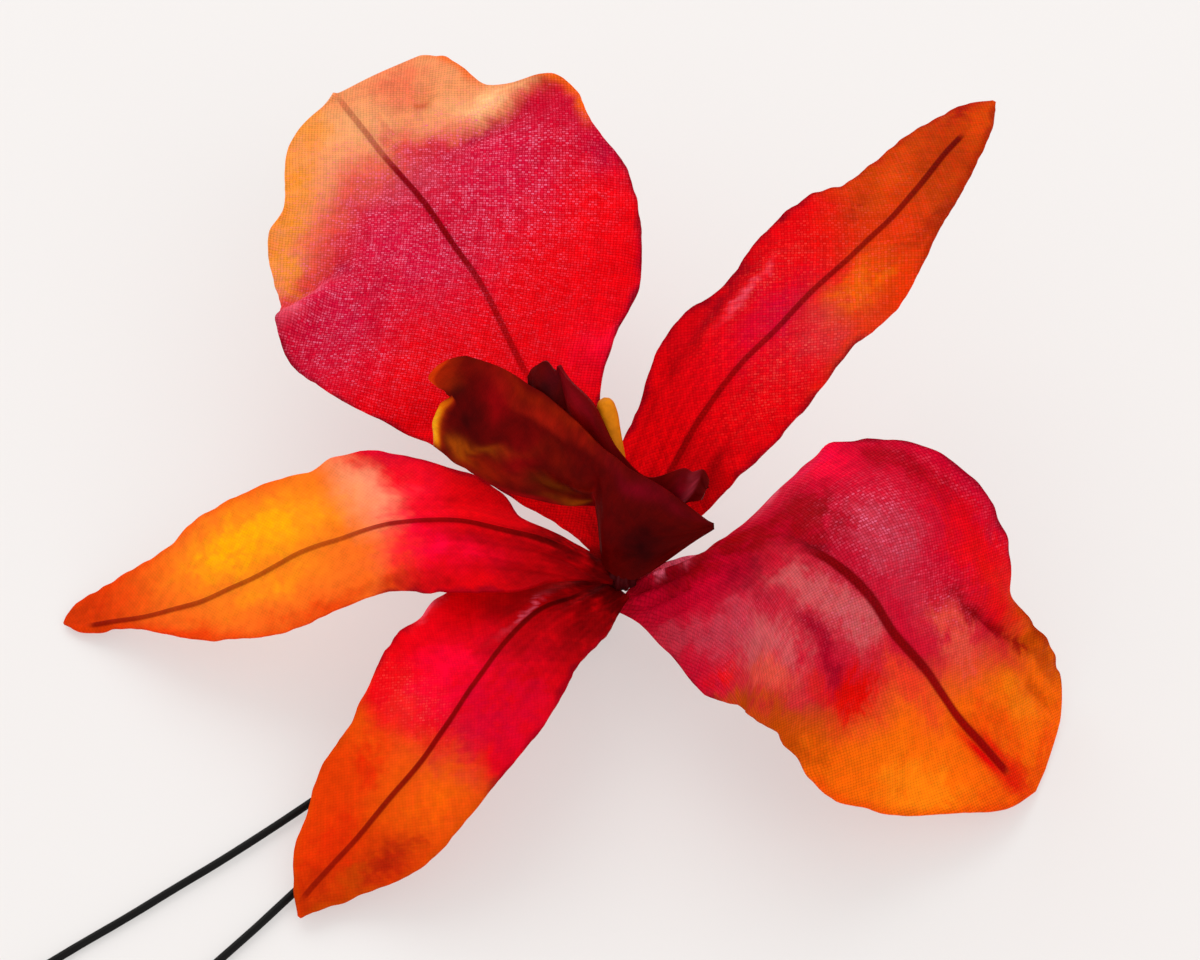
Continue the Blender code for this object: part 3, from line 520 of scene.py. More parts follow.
petalLowerRight = {
    "node": "petal_lower_right", "cloth": "petalCloth", "slot": "petal_cloth", "grid": (116, 176), "tuck": 1.7,
    "rib": [(2.2, -1.0, 0.3), (6.6, -2.9, 5.4), (12.5, -5.0, 11.6), (18.2, -7.5, 14.2), (23.4, -9.8, 11.6),
        (28.3, -12.0, 5.0), (33.6, -14.4, -3.2), (41.2, -17.8, -12.0)],
    "left": [(0, 1.0), (0.13, 1.0), (0.19, 5.1), (0.235, 11.5), (0.3, 13.1), (0.36, 14.2), (0.43, 15.5),
        (0.48, 16.1), (0.56, 15.9), (0.65, 15.6), (0.69, 14.2), (0.73, 12.3), (0.77, 11.6), (0.83, 12.1),
        (0.9, 12.8), (0.94, 12.8), (0.96, 11.5), (0.985, 8.8), (1, 0)],
    "right": [(0, 1.9), (0.02, 3.8), (0.045, 6.8), (0.09, 9.9), (0.13, 12.4), (0.172, 14.6), (0.21, 15.5),
        (0.3, 16.2), (0.4, 17.4), (0.45, 17.9), (0.52, 17.1), (0.57, 17.0), (0.65, 17.8), (0.69, 17.3),
        (0.74, 15.5), (0.8, 13.1), (0.86, 9.9), (0.9, 7.8), (0.95, 5.0), (1, 0)],
    "fold": [(0, 0, -35, 0), (0.2, -10, -22, -0.4), (0.35, 0, -20, -0.4), (0.5, 14, -15, -0.3),
        (0.7, 18, -12, -0.3), (0.85, 8, -6, 0), (1, 0, 0, 0)],
    "ruffle": (4.0, 0.6, 0.0), "back": (0, 3.2), "ease": 14, "calm": [(0.33, -16, 0.11, 8, 0, 0.9)],
    "wire": [(0.05, 0), (0.36, -0.5), (0.5, -1.3), (0.6, -1.5), (0.8, -1.2), (0.93, -1.4)], "ground": "crimson",
    "wireShows": (0.34, 0.935), "wireShadowDepth": [(0, 1), (1, 1)], "wireShadowWidth": 0.76, "veins": 0.1, "crisp": 0.55,
    "pleats": (1.8, 0.4, 0.24), "fray": 0.04,
    "fronts": [
        ([(-18, 0.5), (-14, 0.56), (-11, 0.63), (-6, 0.64), (-1.5, 0.7), (2, 0.74), (6, 0.78), (8, 0.82),
          (10.5, 0.78), (13, 0.73)], 0.07, 0.97, "orange")],
    "washes": [(0.62, 11.5, 10, 4.2, 0, 0.85, "red"), (0.33, 11, 4.6, 3.4, 0, 0.9, "hotPink"),
        # painted highlight: the pink wash at 0.225 on the bent edge of the flap
        (0.29, 11.4, 3.4, 3, 0, 0.6, "cerise"), (0.225, 8.4, 0.9, 3.8, 0, 0.6, "pink"),
        # the deepRed washes at 0.18 and 0.34 are dye deepened by painted shade where the petal dips from the hub
        # to the rib line
        (0.18, 0, 11, 3.0, 0, 0.95, "deepRed"), (0.34, 3.4, 5.5, 4.2, 0, 0.9, "deepRed"),
        (0.27, -4.2, 5, 2.2, -12, 0.6, "wine"), (0.05, -0.8, 6, 2, 0, 0.45, "darkRed"),
        # painted highlights: the pink washes along the pleats of the neck
        (0.045, 0.5, 3.8, 0.5, -6, 0.95, "pink"), (0.09, 1.2, 3, 0.3, -6, 0.9, "pink"),
        # painted shade: the darkRed at 0.37 lies in the valley where the rib line starts. Painted sheen: the pale
        # rose washes on the near half, from (0.1, -7) to (0.5, -4.2), and the rose at (0.47, 5)
        (0.37, 0, 3.2, 0.7, -4, 0.5, "darkRed"), (0.1, -7, 6, 1.8, -14, 0.7, "rose"),
        (0.24, -8.6, 7, 2.6, -4, 0.85, "rose"), (0.36, -10.6, 8, 3.2, 0, 0.95, "dusty"),
        (0.39, -4.2, 4.6, 2.2, -10, 0.95, "dusty"), (0.5, -4.2, 4.8, 2.6, 0, 1.0, "dusty"),
        (0.47, 5, 4.0, 4.2, 0, 0.75, "rose"), (0.57, 2.4, 5, 2, 0, 0.3, "rose"),
        (0.12, -11.3, 5, 1.2, -28, 0.8, "crimson"), (0.22, -13.2, 3.6, 1.1, 0, 0.95, "red"),
        (0.44, -7.3, 2.4, 1.0, -10, 0.9, "ragged"), (0.5, -8.3, 3.2, 1.2, -16, 0.95, "ragged"),
        (0.54, -9.4, 2.0, 1.0, 0, 0.9, "ragged"), (0.595, -9, 2.8, 4.0, -6, 1.1, "scarlet"),
        (0.53, -11.4, 3, 1.2, 0, 0.6, "scarlet"), (0.7, 3.6, 5, 2.8, 0, 0.85, "salmon"),
        (0.65, -4, 4, 2.2, 0, 0.95, "redSalmon"), (0.8, -10, 5, 4, 20, 0.5, "amber"),
        (0.57, -13.6, 3.5, 2.2, 0, 0.6, "brownOrange"), (0.85, 6, 5, 3, 0, 0.3, "brownOrange"),
        (0.73, -3.6, 3, 2.2, 0, 0.6, "redSalmon"), (0.86, 1.5, 5, 2, 0, 0.5, "redOrange"),
        (0.88, 5.5, 4, 2.0, 8, 0.3, "amber"), (0.88, -1.6, 5, 2.0, 0, 0.3, "redOrange"),
        (0.95, -1, 2.2, 2.4, 0, 0.7, "scarlet"), (0.98, 2, 1.8, 8, 0, 0.6, "redOrange"),
        # painted shade: the deepRed washes at 0.7 and 0.79 lie in the crease valleys near the upper edge
        (0.84, 11.5, 8, 2.0, 4, 1.0, "brownOrange"), (0.7, 7.2, 5, 1.0, 14, 0.95, "deepRed"),
        (0.79, 9.3, 3.6, 0.8, 18, 0.85, "deepRed"), (0.74, 10, 3, 2, 0, 0.6, "red"),
        (0.92, 8.4, 3, 0.7, 14, 0.6, "brownOrange"), (0.3, -15.8, 7, 1.2, 0, 0.9, "brownOrange"),
        (0.5, -15.8, 8, 1.8, 0, 0.9, "brownOrange"), (0.39, -13.2, 7, 1.8, 0, 0.8, "salmon"),
        (0.93, -4.5, 3, 3, 0, 0.4, "redOrange"), (0.45, 12.5, 5, 2.4, 0, 0.75, "deepRed")],
    "beside": [(0.87, -2.2, 4.4, 0.75, 1, 1.1, "scarlet"), (0.885, -0.5, 3.6, 0.6, 0, 0.9, "scarlet"),
        (0.94, -1.6, 1.6, 1.2, 0, 0.7, "scarlet")],
    "rims": [(0.24, 0.62, -1, 2.0, 0.85, "brownOrange"), (0.6, 1.0, -1, 1.2, 0.5, "redOrange"),
        # painted highlight: the pink rim along the upper edge of the base
        (0.3, 0.7, 1, 0.6, 0.8, "wine"), (0.72, 0.98, 1, 0.7, 0.6, "rust"), (0.0, 0.2, 1, 1.0, 0.7, "pink"),
        (0.04, 0.22, -1, 0.5, 0.7, "wine")],
    "dents": [(0.7, 7.8, 6, 0.8, 14, -0.8), (0.78, 9.6, 4, 0.8, 18, -0.6), (0.76, 11, 6, 1.0, 12, 0.6),
        (0.9, 8, 3.2, 0.9, 12, -0.5), (0.86, 5, 2.4, 2.4, 0, 0.4), (0.64, 4, 3, 1.6, 20, -0.35),
        (0.38, 0.2, 4.5, 0.9, -5, -0.5), (0.45, 7, 5, 4, 0, 0.5), (0.3, -6, 7, 2, -8, 0.35),
        (0.45, -8, 6, 1.5, -12, -0.25), (0.6, -9, 3, 3, 0, -0.4), (0.7, -8, 4, 4, 0, 0.5),
        (0.5, -12, 5, 2, 0, 0.4)],
    "glints": [(0.45, 5, 4, 4, 0, 1.1), (0.55, 14.5, 8, 1.4, 0, 0.3), (0.48, -4, 5, 2.4, 0, 0.6),
        (0.62, 5, 5, 3, 0, 0.5), (0.25, 9, 4, 4, 0, 0.3), (0.3, -10, 9, 4, 0, 0.3)],
    "waves": (0.22, 0.16), "edgeWaves": (0.3, 0.4),
}
sepalUpperRight = {
    "node": "sepal_upper_right", "cloth": "sepalCloth", "slot": "sepal_cloth", "grid": (64, 176), "tuck": 0.8,
    "rib": [(1.4, 1.9, 0.3), (5.0, 8.6, 6.0), (9.6, 13.6, 12.0), (14.8, 18.0, 15.6), (20.0, 22.6, 18.0),
        (28.4, 31.0, 20.0), (35.0, 41.6, 19.6), (39.6, 48.6, 19.0)],
    "left": [(0, 1.0), (0.06, 3.0), (0.12, 5.8), (0.2, 6.5), (0.27, 7.9), (0.33, 8.3), (0.4, 7.7), (0.5, 8.4),
        (0.56, 8.6), (0.6, 8.3), (0.67, 6.8), (0.76, 5.6), (0.85, 4.4), (0.93, 3.1), (0.97, 1.8), (1, 0)],
    "right": [(0, 1.0), (0.1, 4.8), (0.19, 6.7), (0.27, 7.9), (0.35, 8.1), (0.42, 7.6), (0.47, 7.2),
        (0.52, 7.4), (0.58, 6.8), (0.65, 5.3), (0.7, 4.2), (0.78, 3.5), (0.86, 2.8), (0.93, 1.9), (1, 0)],
    "fold": [(0, 0, 0, 0), (0.3, 6, -6, 0), (1, 6, -6, 0)], "ruffle": (4.0, 0.3, 0.0), "back": (0, 0),
    "wire": [(0.05, 0), (0.25, 0), (0.6, 0.3), (0.75, 0.4), (0.9, 0.2)], "ground": "red", "wireShows": (0.1, 0.9),
    "wireShadowDepth": [(0, 0.7), (0.5, 0.8), (1, 1)], "wireShadowWidth": 0.36, "veins": 0.16, "crisp": 0.2,
    "pleats": (2.4, 0.22, 0.3), "fray": 0.05,
    "fronts": [
        ([(-8, 0.4), (-6, 0.45), (-3, 0.49), (0, 0.56), (3, 0.6), (6, 0.63), (8, 0.65)],
         0.06, 0.9, "redOrange"),
        ([(-8, 0.64), (-3, 0.68), (0, 0.7), (4, 0.66), (8, 0.68)], 0.08, 0.65, "brownOrange")],
    "washes": [(0.01, 0, 3.5, 4, 0, 0.85, "darkRed"), (0.14, -3, 3, 2, 0, 0.15, "deepRed"),
        # painted light: the pink wash at 0.43 is a highlight along the fold, the wine wash at 0.4 shade beside it
        (0.42, 0, 7, 5, 0, 0.45, "crimson"), (0.43, 5.1, 3.4, 0.3, 4, 0.6, "pink"),
        (0.4, 6.8, 6, 0.9, 3, 0.7, "wine"), (0.42, 1.5, 5, 2.4, 0, 0.4, "cerise"),
        (0.46, -4, 4, 3, 0, 0.4, "rose"), (0.55, -3, 4.5, 2.4, 0, 0.9, "orange"),
        (0.18, -4.2, 7, 0.8, 3, 0.5, "deepRed"), (0.28, 5.6, 6, 0.6, 4, 0.45, "deepRed"),
        (0.56, 4.4, 4, 2.2, 0, 0.6, "scarlet"), (0.65, 3.4, 2.6, 1.2, 15, 0.85, "deepRed"),
        (0.74, 3, 7, 1.6, 0, 0.5, "deepOrange"), (0.94, 1.9, 4, 1.0, -10, 0.95, "brick"),
        (0.93, -0.6, 4, 0.9, 0, 0.6, "deepOrange"), (0.7, -3.2, 6, 1.0, 0, 0.6, "rust"),
        (0.84, 0, 6, 4, 0, 0.35, "rust")],
    "rims": [(0.1, 0.66, 1, 0.6, 0.7, "wine"), (0.1, 0.5, -1, 0.5, 0.7, "wine"),
        (0.6, 1.0, -1, 0.8, 0.6, "rust"), (0.6, 1.0, 1, 0.8, 0.6, "brick")],
    "dents": [(0.44, 5.2, 5, 0.8, 4, 0.22), (0.38, 6.8, 7, 1.2, 4, -0.4), (0.18, -4.2, 7, 0.8, 3, -0.3),
        (0.28, 5.6, 7, 0.9, 4, -0.25), (0.6, -3, 6, 2, 0, 0.3), (0.68, 3.6, 2.2, 1.0, 15, -0.35),
        (0.8, 2.5, 6, 1.6, 0, 0.25)],
    "glints": [(0.45, 5, 5, 1.4, 0, 0.3), (0.6, 2, 14, 6, 0, 0.25), (0.42, -4, 10, 3, 0, 0.35)],
    "waves": (0.14, 0.2), "edgeWaves": (0.22, 0.5),
}
sepalLeft = {
    "node": "sepal_left", "cloth": "outerCloth", "slot": "sepal_cloth", "grid": (64, 168), "tuck": 1.5,
    "rib": [(-2.1, 0.1, 1.1), (-8.0, 0.9, 4.4), (-18.0, 1.9, 6.2), (-29.1, 1.3, 3.0), (-42.8, 0.6, -4.9),
        (-53.4, 1.8, -10.4), (-58.0, 3.0, -12.0)],
    "left": [(0, 1.4), (0.08, 4.5), (0.155, 7.1), (0.27, 8.0), (0.38, 7.1), (0.47, 7.3), (0.57, 7.0),
        (0.65, 5.9), (0.73, 4.4), (0.8, 2.5), (0.85, 1.3), (0.91, 0.8), (0.96, 0.7), (1, 0)],
    "right": [(0, 1.0), (0.08, 1.5), (0.12, 1.7), (0.15, 2.3), (0.175, 4.0), (0.19, 4.8), (0.25, 6.5),
        (0.3, 7.6), (0.35, 9.2), (0.4, 10.0), (0.44, 9.8), (0.49, 8.9), (0.62, 9.0), (0.71, 8.8), (0.76, 7.8),
        (0.82, 6.0), (0.9, 4.4), (0.96, 3.5), (0.985, 2.4), (1, 0)],
    "fold": [(0, 0, 0, 0), (0.2, -6, -6, 0), (0.5, -14, 14, 0), (0.8, -14, 20, 0), (1, 0, 8, 0)],
    "ruffle": (3.0, 0.3, 0.0), "back": (0, 0),
    "wire": [(0.06, 0.2), (0.2, 0.1), (0.45, -0.4), (0.6, 0), (0.75, 0.3), (0.94, 0.1)], "ground": "red",
    "wireShows": (0.04, 0.95), "wireShadowDepth": [(0, 0.9), (0.35, 0.9), (0.45, 0.65), (0.7, 0.7), (1, 0.85)],
    "wireShadowWidth": 0.34, "veins": 0.14, "crisp": 0.1, "pleats": (2.4, 0.2, 0.3), "fray": 0.04,
    "fronts": [
        ([(-10, 0.44), (-7, 0.375), (-4, 0.345), (0, 0.35), (3, 0.375), (6, 0.395), (8, 0.4)],
         0.035, 0.9, "palePeach"),
        ([(-10, 0.445), (-5, 0.42), (-2, 0.395), (0, 0.37), (2, 0.35), (8, 0.36)], 0.06, 0.94, "orange"),
        ([(-6, 0.84), (0, 0.82), (3, 0.74)], 0.12, 0.85, "redOrange")],
    "washes": [(0.0, 0, 8, 8, 0, 0.97, "darkRed"), (0.14, 1.6, 10, 1.2, -3, 0.8, "deepRed"),
        (0.12, 5, 6, 1.8, -6, 0.85, "deepRed"), (0.28, 3.4, 5, 1.8, 0, 0.85, "hotPink"),
        (0.335, -1, 3, 7, 0, 0.75, "hotPink"), (0.22, -3.4, 5, 0.6, 4, 0.4, "deepRed"),
        (0.352, -8.9, 3.4, 1.3, 0, 1.0, "crimson"), (0.3, 6.8, 5, 1.2, 0, 0.7, "deepRed"),
        (0.61, -4, 8, 3.4, 0, 0.95, "yellow"), (0.52, -3.4, 4, 3, 0, 0.6, "amber"),
        (0.58, 2, 6, 1.8, 0, 0.7, "amber"), (0.78, 3.4, 7, 1.1, -14, 0.85, "redOrange"),
        (0.5, 6.2, 8, 1.2, 0, 0.6, "redOrange"), (0.95, -1.5, 5, 3, 0, 0.6, "redOrange"),
        (0.98, 0, 6, 5, 0, 0.35, "rust")],
    "rims": [(0.4, 1.0, 1, 1.2, 0.6, "redOrange"), (0.5, 1.0, -1, 1.0, 0.35, "redOrange"),
        (0.3, 0.43, -1, 1.0, 0.7, "crimson"), (0.12, 0.36, -1, 0.45, 0.6, "wine"),
        (0.1, 0.4, 1, 0.45, 0.6, "wine")],
    "dents": [(0.16, 3, 8, 0.8, -4, -0.3), (0.18, -2.5, 8, 0.8, 5, -0.25), (0.46, -6.5, 4, 1.8, 20, -0.45),
        (0.6, -5, 8, 2.4, 0, 0.3), (0.7, 3.5, 7, 1.2, -12, -0.3), (0.4, 3.5, 5, 2, 0, 0.3)],
    "glints": [(0.42, -5, 5, 4, 0, 0.12)], "waves": (0.14, 0.2), "edgeWaves": (0.2, 0.45),
}
sepalBottom = {
    "node": "sepal_bottom", "cloth": "outerCloth", "slot": "sepal_cloth", "grid": (64, 140), "tuck": 1.3,
    "rib": [(-1.6, -1.6, -0.7), (-7.6, -7.8, 1.8), (-13.7, -15.8, 2.0), (-19.5, -21.1, -2.0),
        (-26.2, -27.4, -8.4), (-31.1, -33.2, -11.1)],
    "left": [(0, 2.0), (0.05, 3.5), (0.11, 4.8), (0.22, 5.3), (0.3, 6.3), (0.38, 7.1), (0.49, 7.6),
        (0.68, 7.5), (0.74, 7.1), (0.79, 6.2), (0.87, 3.9), (0.96, 1.1), (1, 0)],
    "right": [(0, 2.2), (0.1, 6.2), (0.19, 8.8), (0.25, 9.8), (0.32, 9.9), (0.37, 10.7), (0.43, 11.2),
        (0.48, 11.0), (0.53, 10.2), (0.58, 9.1), (0.65, 8.5), (0.73, 8.5), (0.78, 7.8), (0.83, 6.2),
        (0.88, 5.2), (0.95, 2.5), (1, 0)],
    "fold": [(0, 0, 0, 0), (0.3, -6, -2, 0), (0.8, -4, -2, 0), (1, 0, 0, 0)], "ruffle": (3.0, 0.3, 0.0),
    "back": (0, 0),
    "wire": [(0.08, -1.2), (0.2, -1.8), (0.4, -1), (0.5, -0.1), (0.62, 0.2), (0.75, -0.2), (0.93, -0.9)],
    "ground": "red", "wireShows": (0.02, 0.97), "wireShadowDepth": [(0, 0.95), (0.5, 0.95), (0.7, 0.9), (1, 0.6)],
    "wireShadowWidth": 0.34, "veins": 0.14, "crisp": 0.3, "pleats": (2.4, 0.2, 0.25), "fray": 0.04,
    "fronts": [([(-11, 0.6), (-6, 0.6), (-2, 0.565), (2, 0.535), (8, 0.525)], 0.045, 0.95, "deepOrange"),
        ([(-9, 0.66), (0, 0.76), (8, 0.73)], 0.07, 0.85, "redOrange")],
    "washes": [(0.0, 0, 7, 7, 0, 0.97, "darkRed"), (0.14, 3.6, 5, 2.2, 0, 0.75, "darkRed"),
        (0.22, 0, 7, 8, 0, 0.7, "deepRed"), (0.53, -5, 2.2, 3, 0, 0.35, "redSalmon"),
        (0.43, -4, 5.5, 4, 0, 0.75, "hotPink"), (0.44, 3, 7, 5, 0, 0.85, "crimson"),
        # painted highlights: the pink washes along the ridge beside the rib line and on the curled edge
        (0.19, -2.75, 3.0, 0.22, 0, 0.6, "pink"), (0.29, -9.9, 2.2, 0.45, 0, 0.85, "pink"),
        (0.67, -4.6, 3, 2, 20, 0.7, "scarlet"), (0.8, 3.6, 5, 2.2, -22, 0.85, "brick"),
        (0.9, 2, 5, 1.6, 0, 0.6, "brownOrange"), (0.62, 3.4, 4, 3, 0, 0.5, "orange"),
        (0.85, -2, 5, 3, 0, 0.4, "scarlet"), (0.98, 0, 5, 5, 0, 0.45, "rust")],
    "rims": [(0.5, 1.0, 1, 0.8, 0.5, "brownOrange"), (0.5, 1.0, -1, 0.8, 0.4, "brownOrange"),
        (0.1, 0.56, 1, 0.45, 0.6, "wine"), (0.3, 0.56, -1, 0.45, 0.6, "wine")],
    "dents": [(0.22, -3, 4, 0.7, 2, 0.3), (0.29, -9.4, 2.4, 1.2, 0, 1.1), (0.45, -7, 4, 2.4, 0, -0.35),
        (0.6, 4, 5, 2.4, 0, 0.3), (0.7, -4, 5, 2, 0, -0.3), (0.15, 2.5, 6, 0.8, 0, -0.25)],
    "glints": [(0.52, -5, 2.4, 5, 0, 0.3)], "waves": (0.14, 0.2), "edgeWaves": (0.2, 0.45),
}
clothThickness = 0.32
ribOverWire = {"raised": 0.16, "halfWidth": 0.28, "hollow": 0.12, "hollowWidth": 0.9, "fadeIn": 0.06,
              "fadeOut": 0.02}
bladeSeeds = {"waves": 4.2, "frill": 9.1, "fray": 3.3, "rims": 6.6, "veins": 8.8, "frillSide": 7.0,
              "fraySide": 3.0}
# How much of the rib's length each of these takes to come in or to go out
bladeFades = {"corner": 0.08, "waves": 0.15, "frill": 0.2, "pleats": 0.03, "tip": 0.05, "tuck": 0.06}
bladeGrid = {"end": 0.996, "even": 0.55, "tip": 0.45, "rib": 0.45, "frayPitch": 1.1}
# The three steps of a colour's ragged edge: (reach, pitch, seed along, seed across)
tintWander = [(1.1, 0.35, 1.3, 7.7), (0.5, 1.3, 2.9, 5.1), (0.4, 2.6, 3.9, 6.1)]
tintBlots = {"level": 0.9, "depth": 0.5, "pitches": (0.5, 1.7)}
rimEnds = {"fadeIn": 0.05, "fadeOut": 0.04, "past": 0.2, "ragged": 0.6, "pitches": (0.6, 0.3)}
veinFan = {"pitch": 1.1, "spread": 0.3, "along": 0.05, "reach": 0.6}


class Blade:
    def __init__(self, spec):
        self.spec = spec
        self.line, self.length = curveThrough(spec["rib"], 201)
        self.along = np.linspace(0, 1, 201)
        self.tangent = np.gradient(self.line, axis=0)
        self.tangent /= np.linalg.norm(self.tangent, axis=1)[:, None]
        ease = spec.get("ease", 0)      # spreads the turn of a sharp arch, so that its rows keep apart
        even = np.ones(2 * ease + 1) / (2 * ease + 1)
        self.heading = np.stack([np.convolve(np.pad(self.tangent[:, k], ease, mode="edge"), even, "valid")
                                 for k in range(3)], axis=1)

    def frame(self, share):
        forward = pointsAt(share, self.along, self.heading)
        left = np.cross((0, 0, 1), forward)
        left /= np.linalg.norm(left, axis=-1)[..., None]
        up = np.cross(forward, left)
        return pointsAt(share, self.along, self.line), left, up / np.linalg.norm(up, axis=-1)[..., None]

    def width(self, share, side):
        return between(self.spec["left" if side > 0 else "right"], share)

    def widths(self, share, across):
        return np.where(across > 0, self.width(share, 1), self.width(share, -1))

    def spots(self, key):
        # a list of spots with their share turned into millimetres along the rib
        return [(share * self.length, *rest) for share, *rest in self.spec[key]]

    def point(self, share, across):
        middle, left, up = self.frame(share)
        back = np.where(across > 0, *self.spec["back"]) * np.clip(np.abs(across) / self.width(0, -1), 0, 1)
        middle = middle - self.tangent[0] * (back * np.clip(1 - share / bladeFades["corner"], 0, 1) ** 2)[:, None]
        fold = self.spec["fold"]
        leftSlope, rightSlope, curl = (between([(f[0], f[k]) for f in fold], share) for k in (1, 2, 3))
        slope = np.radians(np.where(across > 0, leftSlope, rightSlope))
        edge = np.clip(np.abs(across) / np.maximum(self.widths(share, across), 0.5), 0, 1.3)
        waves, height, phase = self.spec["ruffle"]
        wave = height * edge ** 3 * np.sin(2 * math.pi * (waves * share + phase)) * np.sign(across)
        lift = np.abs(across) * np.sin(slope) + curl * (across / 10) ** 2 + wave
        return middle + left * (across * np.cos(slope))[:, None] + up * lift[:, None], up

    def relief(self, share, across, edge, offRib):
        # what the cloth adds to the smooth surface: dents, waves, a frilled edge, pleats and the raised rib over
        # the wire; also how dark the painted shadow of the wire is along the rib
        x = share * self.length
        spec = self.spec
        lift = sum(mark(x, across, self.spots("dents")))
        height, pitch = spec["waves"]
        wave = ripple(x * pitch, across * pitch, bladeSeeds["waves"])
        lift = lift + height * 2 * wave * smooth(share / bladeFades["waves"])
        height, pitch = spec["edgeWaves"]
        calm = sum(mark(share, across, spec.get("calm", [])))
        frill = ripple(x * pitch, np.sign(across) * bladeSeeds["frillSide"], bladeSeeds["frill"])
        lift = lift + height * 2 * edge ** 4 * frill * smooth(share / bladeFades["frill"]) * (1 - calm)
        pitch, height, reach = spec["pleats"]
        fade = (1 - smooth(share / reach)) * smooth(share / bladeFades["pleats"]) * (1 - edge ** 3)
        lift = lift + height * np.cos(2 * math.pi * across / pitch) * fade
        start, end = spec["wireShows"]
        wireShows = smooth((share - start) / ribOverWire["fadeIn"]) * smooth((end - share) / ribOverWire["fadeOut"])
        for height, halfWidth in ((ribOverWire["raised"], ribOverWire["halfWidth"]),
                                  (-ribOverWire["hollow"], ribOverWire["hollowWidth"])):
            lift = lift + height * np.exp(-(offRib / halfWidth) ** 2) * wireShows
        return lift, wireShows * between(spec["wireShadowDepth"], share)


def tintBlade(blade, share, across, gap):
    spec, length = blade.spec, blade.length
    x = share * length
    u, v = x, across
    for reach, pitch, seedAlong, seedAcross in tintWander:
        u = u + reach * ripple(x * pitch, across * pitch, seedAlong)
        v = v + reach * ripple(x * pitch, across * pitch, seedAcross)
    colour = np.tile(linear(tints[spec["ground"]]), (len(x), 1))
    for line, soft, strength, tint in spec["fronts"]:
        start = np.interp(v, [p[0] for p in line], [p[1] for p in line])
        colour = paint(colour, tint, strength * smooth(0.5 + (u / length - start) / soft / 2))
    # washes: patches of dye, and in places painted highlights on folds and painted shade in creases
    for s, b, reachX, reachY, turn, strength, tint in spec["washes"]:
        patchy = tintBlots["level"]
        for pitch, seed in zip(tintBlots["pitches"], (s * 31 + b, s * 17 - b)):
            patchy = patchy + tintBlots["depth"] * ripple(u * pitch, v * pitch, seed)
        shape = mark(u, v, [(s * length, b, reachX, reachY, turn, 1.0)])[0] * patchy
        shape = shape + spec["crisp"] * (smooth(2 * shape - 0.5) - shape)
        colour = paint(colour, tint, strength * shape)
    for s, b, reachX, reachY, turn, strength, tint in spec.get("beside", []):
        colour = paint(colour, tint, mark(x, across, [(s * length, b, reachX, reachY, turn, strength)])[0])
    alongPitch, acrossPitch = rimEnds["pitches"]
    ragged = gap + rimEnds["ragged"] * ripple(x * alongPitch, across * acrossPitch, bladeSeeds["rims"])
    for low, high, side, depth, strength, tint in spec["rims"]:
        within = smooth((share - low) / rimEnds["fadeIn"])
        within = within * smooth((high - share) / rimEnds["fadeOut"] + rimEnds["past"])
        within = within * (np.sign(across) == side)
        colour = paint(colour, tint, strength * within * smooth(1 - ragged / depth))
    fan = across * veinFan["pitch"] / (veinFan["spread"] + share)
    veins = ripple(fan, x * veinFan["along"], bladeSeeds["veins"])
    colour = colour * (1 + spec["veins"] * 2 * veins * (1 - smooth(share / veinFan["reach"])))[:, None]
    return np.clip(colour, 0, 1)


def makeBlade(name, spec):
    blade = Blade(spec)
    sheet, side, even = clothGrid(name, *spec["grid"])
    even = bladeGrid["even"] * even + bladeGrid["tip"] * np.sin(even * math.pi / 2)     # closer at the tip
    share = spec.get("end", bladeGrid["end"]) * even
    full = blade.widths(share, side)
    across = side * full * (bladeGrid["rib"] + bladeGrid["even"] * np.abs(side))     # closer at the rib
    edge = np.abs(across) / np.maximum(full, 0.5)
    offRib = across - between(spec["wire"], share)
    gap = np.minimum(full - np.abs(across), (1 - share) * blade.length)
    places, up = blade.point(share, across)
    lift, wireShadowAmount = blade.relief(share, across, edge, offRib)
    lift = lift * smooth((1 - share) / bladeFades["tip"])
    fray = ripple(share * blade.length * bladeGrid["frayPitch"], np.sign(across) * bladeSeeds["fraySide"],
                  bladeSeeds["fray"])
    fray = spec["fray"] * fray * 2 * edge ** 6
    sideways = blade.frame(share)[1] * (fray * np.sign(across))[:, None]
    tuck = np.clip(1 - share / bladeFades["tuck"], 0, 1)[:, None] ** 2 * blade.tangent[0] * spec["tuck"]
    places = places + up * lift[:, None] + sideways - tuck
    flat = np.stack([across, share * blade.length], axis=1)
    # where the painted sheen flecks show on this blade
    glint = np.clip(sum(mark(flat[:, 1], across, blade.spots("glints"))), 0, 1.3)
    moveCloth(sheet, places, flat, {"tint": tintBlade(blade, share, across, gap), "glint": glint,
                                    "rib": offRib / spec["wireShadowWidth"], "wireShadow": wireShadowAmount})
    closeCloth(sheet, clothThickness, spec["cloth"])
    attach(sheet, "root")
    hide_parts(spec["node"])
    shares = np.linspace(0, 1, 400)
    left, right = blade.width(shares, 1), blade.width(shares, -1)
    return blade


# Round wires: a curve with a radius at each point, made a mesh
def wireMesh(name, points, radii, sides):
    deselect()
    bpy.ops.curve.primitive_nurbs_path_add()
    wire = bpy.context.object
    wire.name = wire.data.name = name
    wire.data.splines.clear()
    spline = wire.data.splines.new("POLY")
    spline.points.add(len(points) - 1)
    for target, place, radius in zip(spline.points, (np.array(points) + hub) * mm, radii):
        target.co = (*place, 1)
        target.radius = radius
    wire.data.dimensions = "3D"
    wire.data.bevel_depth = mm
    wire.data.bevel_resolution = sides // 4 - 1
    wire.data.use_fill_caps = True
    bpy.ops.object.convert(target="MESH")
    made = bpy.context.object
    bpy.ops.object.shade_smooth_by_angle(angle=math.radians(60))
    return made


